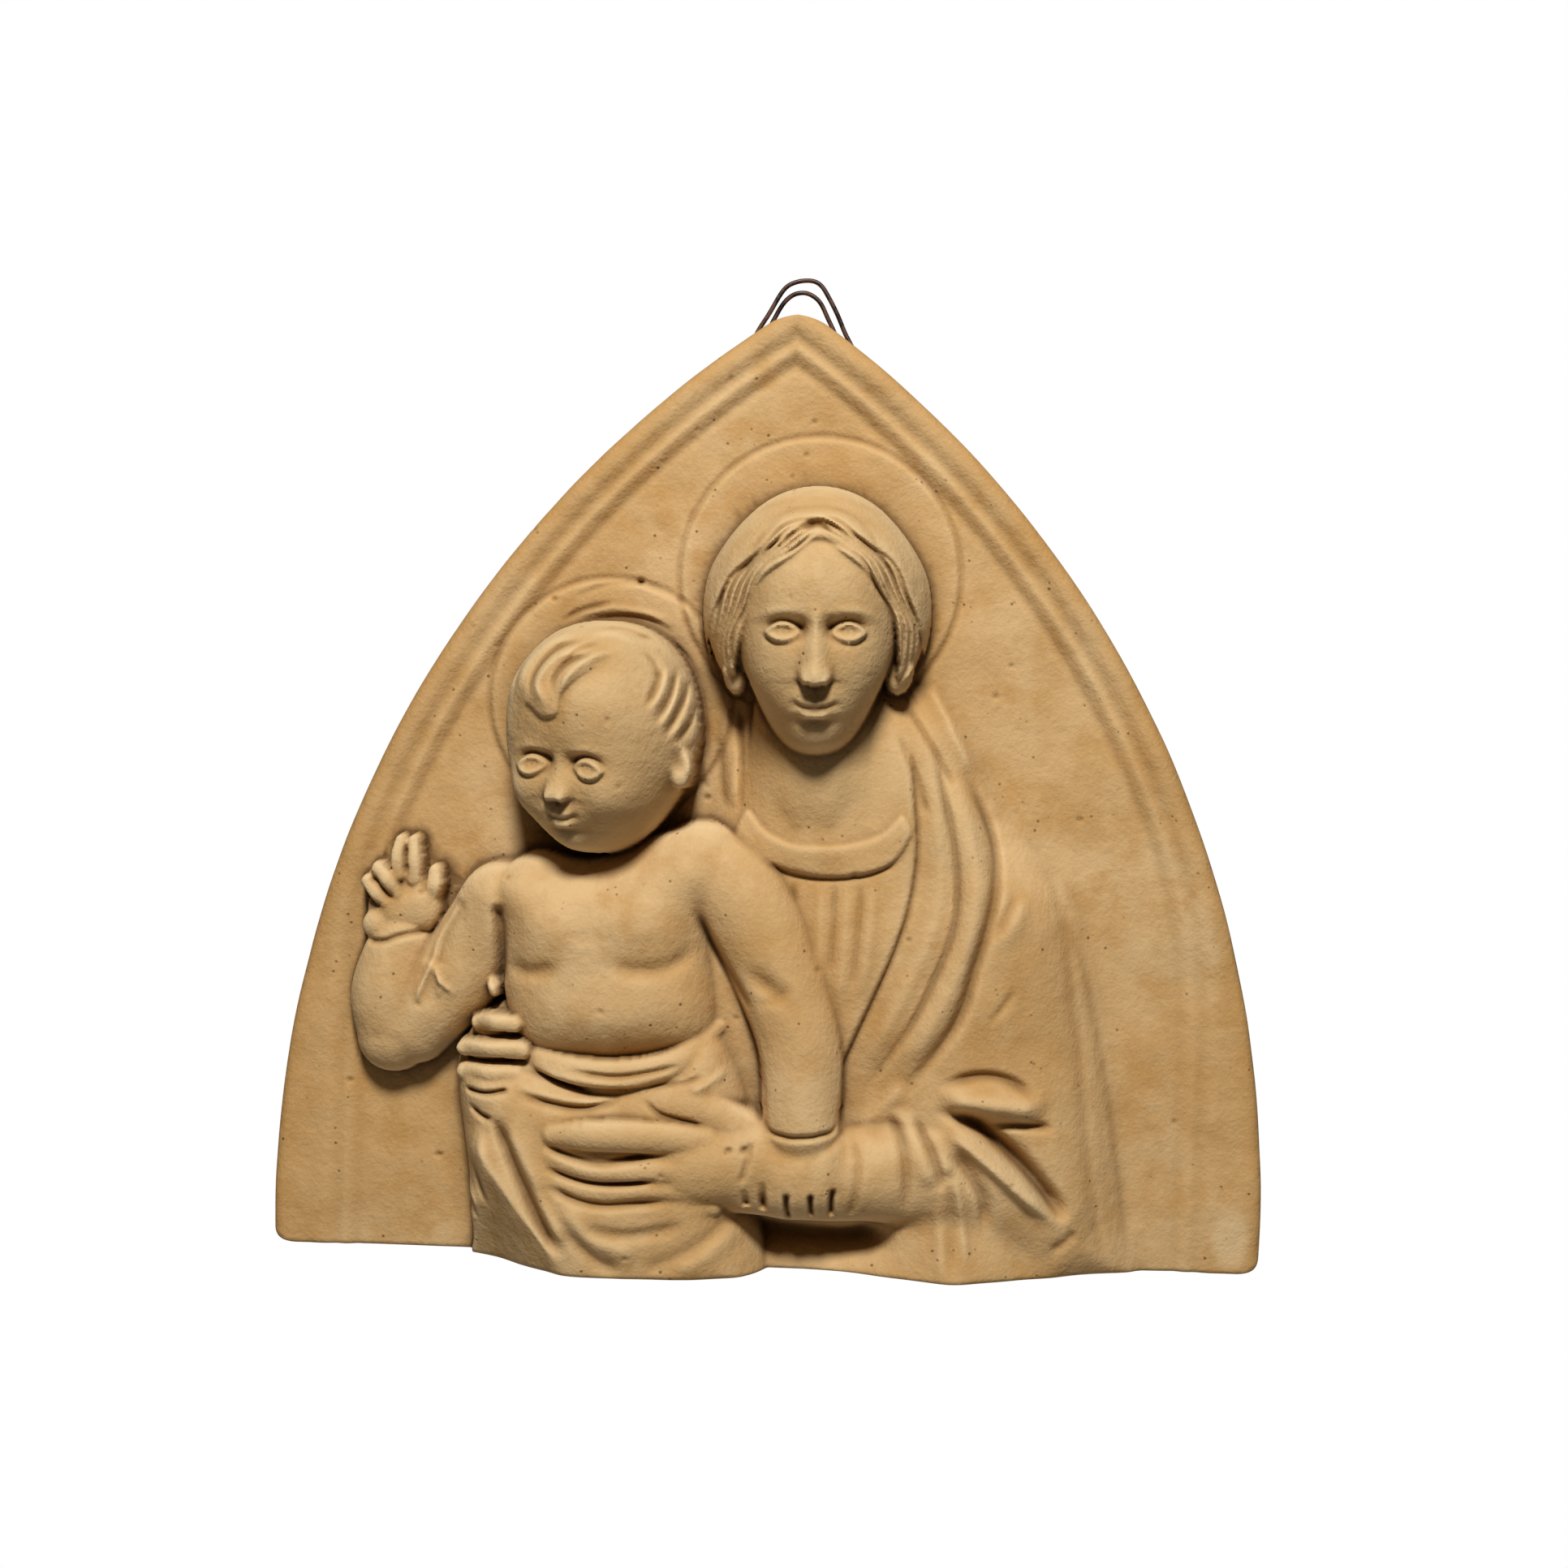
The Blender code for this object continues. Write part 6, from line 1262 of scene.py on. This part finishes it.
class PLAQUE_OT_relief(bpy.types.Operator):
    """Model the fired clay plaque with its carved relief"""

    bl_idname = "plaque.relief"
    bl_label = "Carve Relief"

    def execute(self, context):
        clay, wire = context.scene.plaque_clay, context.scene.plaque_wire
        carved = weathered(carve(clay.fineness * 1000.0), clay)
        plaque = link(bpy.data.objects.new("fired_plaque", relief_mesh(carved, clay)))
        have = sum(len(face.vertices) - 2 for face in plaque.data.polygons)
        fewer = plaque.modifiers.new("fewer", "DECIMATE")
        fewer.ratio = min(1.0, clay.triangles / have)
        baked(plaque)
        reach = wire.thickness / 2 + wire.clearance
        channel = round_bar("wire_channel", wire_path(wire), reach, wire.sides, wire.clearance)
        cut = plaque.modifiers.new("sockets", "BOOLEAN")
        cut.operation = "DIFFERENCE"
        cut.solver = "EXACT"
        cut.object = channel
        baked(plaque)
        bpy.data.objects.remove(channel)
        plaque.data.shade_smooth()
        plaque.data.set_sharp_from_angle(angle=math.radians(75.0))
        wear_and_painted_light(plaque, carved, clay)
        plaque.data.materials.clear()
        plaque.data.materials.append(clay_material(clay))
        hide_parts("plaque")
        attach(plaque, "root")
        return {"FINISHED"}


class PLAQUE_OT_wire(bpy.types.Operator):
    """Model the bent wire that the plaque hangs by"""

    bl_idname = "plaque.wire"
    bl_label = "Bend Wire"

    def execute(self, context):
        clay, wire = context.scene.plaque_clay, context.scene.plaque_wire
        hanger = round_bar("bent_wire", wire_path(wire), wire.thickness / 2, wire.sides)
        hanger.data.materials.append(iron_material(wire))
        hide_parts("hanging_wire")
        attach(hanger, "root")
        return {"FINISHED"}


class PLAQUE_OT_studio(bpy.types.Operator):
    """Set up the floor, the lights and the camera"""

    bl_idname = "plaque.studio"
    bl_label = "Set Up Studio"

    def execute(self, context):
        studio = context.scene.plaque_studio
        self.camera(context, studio)
        self.floor(studio)
        self.lights(context, studio)
        return {"FINISHED"}

    def camera(self, context, studio):
        """A camera almost straight ahead, leaning a little about its own view."""
        target = Vector((CENTRE_LINE + AIM_ASIDE, PEAK.y, FOOT.z + AIM_HEIGHT))
        back = Vector((
            math.sin(studio.azimuth) * math.cos(studio.elevation),
            -math.cos(studio.azimuth) * math.cos(studio.elevation),
            math.sin(studio.elevation)))
        level = Vector((math.cos(studio.azimuth), math.sin(studio.azimuth), 0.0))
        above = back.cross(level)
        right = level * math.cos(studio.roll) + above * math.sin(studio.roll)
        turn = Matrix((right, back.cross(right), back)).transposed().to_4x4()
        data = bpy.data.cameras.new("camera")
        data.lens = studio.lens
        data.sensor_width = 36.0
        camera = link(bpy.data.objects.new("camera", data))
        camera.matrix_world = Matrix.Translation(target + studio.distance * back) @ turn
        context.scene.camera = camera

    def floor(self, studio):
        """A plain floor that starts a little behind the plaque and lies well below it."""
        bm = bmesh.new()
        bmesh.ops.create_grid(bm, x_segments=1, y_segments=1, size=0.5)
        bmesh.ops.scale(bm, vec=(studio.spread, studio.spread, 1.0), verts=bm.verts)
        shift = (CENTRE_LINE, FLOOR_BEHIND - studio.spread / 2, FOOT.z - studio.drop)
        bmesh.ops.translate(bm, vec=shift, verts=bm.verts)
        made = bpy.data.meshes.new("floor")
        bm.to_mesh(made)
        bm.free()
        made.materials.append(floor_material(studio.floor))
        link(bpy.data.objects.new("floor", made))

    def lights(self, context, studio):
        """A soft lamp from above, a weaker one on the back, and a dim world that looks plain white."""
        middle = Vector((CENTRE_LINE, PEAK.y, FOOT.z + PLAQUE_HEIGHT / 2))
        for name, place, power in (("key", KEY_FROM, studio.key), ("back_lamp", BACK_FROM, studio.back)):
            data = bpy.data.lights.new(name, "AREA")
            data.shape = "DISK"
            data.size = studio.lamp_width
            data.energy = power
            data.color = LAMP_COLOUR
            lamp = link(bpy.data.objects.new(name, data))
            aim = Vector(place).normalized()
            turn = aim.to_track_quat("Z", "Y").to_matrix().to_4x4()
            lamp.matrix_world = Matrix.Translation(middle + studio.lamp_distance * aim) @ turn
        world = bpy.data.worlds.new("studio")
        world.use_nodes = True
        tree = world.node_tree
        glow = tree.nodes["Background"]
        seen = add_node(tree, "ShaderNodeLightPath").outputs["Is Camera Ray"]
        tree.links.new(ranged(tree, seen, 0.0, 1.0, studio.fill, 1.0), glow.inputs["Strength"])
        tree.links.new(blended(tree, seen, FILL_COLOUR, BACKDROP), glow.inputs["Color"])
        context.scene.world = world
        context.scene.view_settings.view_transform = "Standard"


class PLAQUE_PT_panel(bpy.types.Panel):
    """The plaque's pieces and their settings"""

    bl_idname = "PLAQUE_PT_panel"
    bl_label = "Terracotta Wall Plaque"
    bl_space_type = "VIEW_3D"
    bl_region_type = "UI"
    bl_category = "Plaque"

    def draw(self, context):
        for group, operator in STEPS:
            settings = getattr(context.scene, group)
            box = self.layout.box()
            for name in settings.__annotations__:
                box.prop(settings, name)
            box.operator(operator)


STEPS = (
    ("plaque_clay", "plaque.relief"), ("plaque_wire", "plaque.wire"), ("plaque_studio", "plaque.studio"))
SETTINGS = {"plaque_clay": ClaySettings, "plaque_wire": WireSettings, "plaque_studio": StudioSettings}
CLASSES = (*SETTINGS.values(), PLAQUE_OT_relief, PLAQUE_OT_wire, PLAQUE_OT_studio, PLAQUE_PT_panel)


def register():
    for made in CLASSES:
        bpy.utils.register_class(made)
    for name, settings in SETTINGS.items():
        setattr(bpy.types.Scene, name, PointerProperty(type=settings))


def unregister():
    for name in SETTINGS:
        delattr(bpy.types.Scene, name)
    for made in reversed(CLASSES):
        bpy.utils.unregister_class(made)


def main():
    register()
    bpy.ops.plaque.relief()
    bpy.ops.plaque.wire()
    bpy.ops.plaque.studio()


if __name__ == "__main__":
    main()
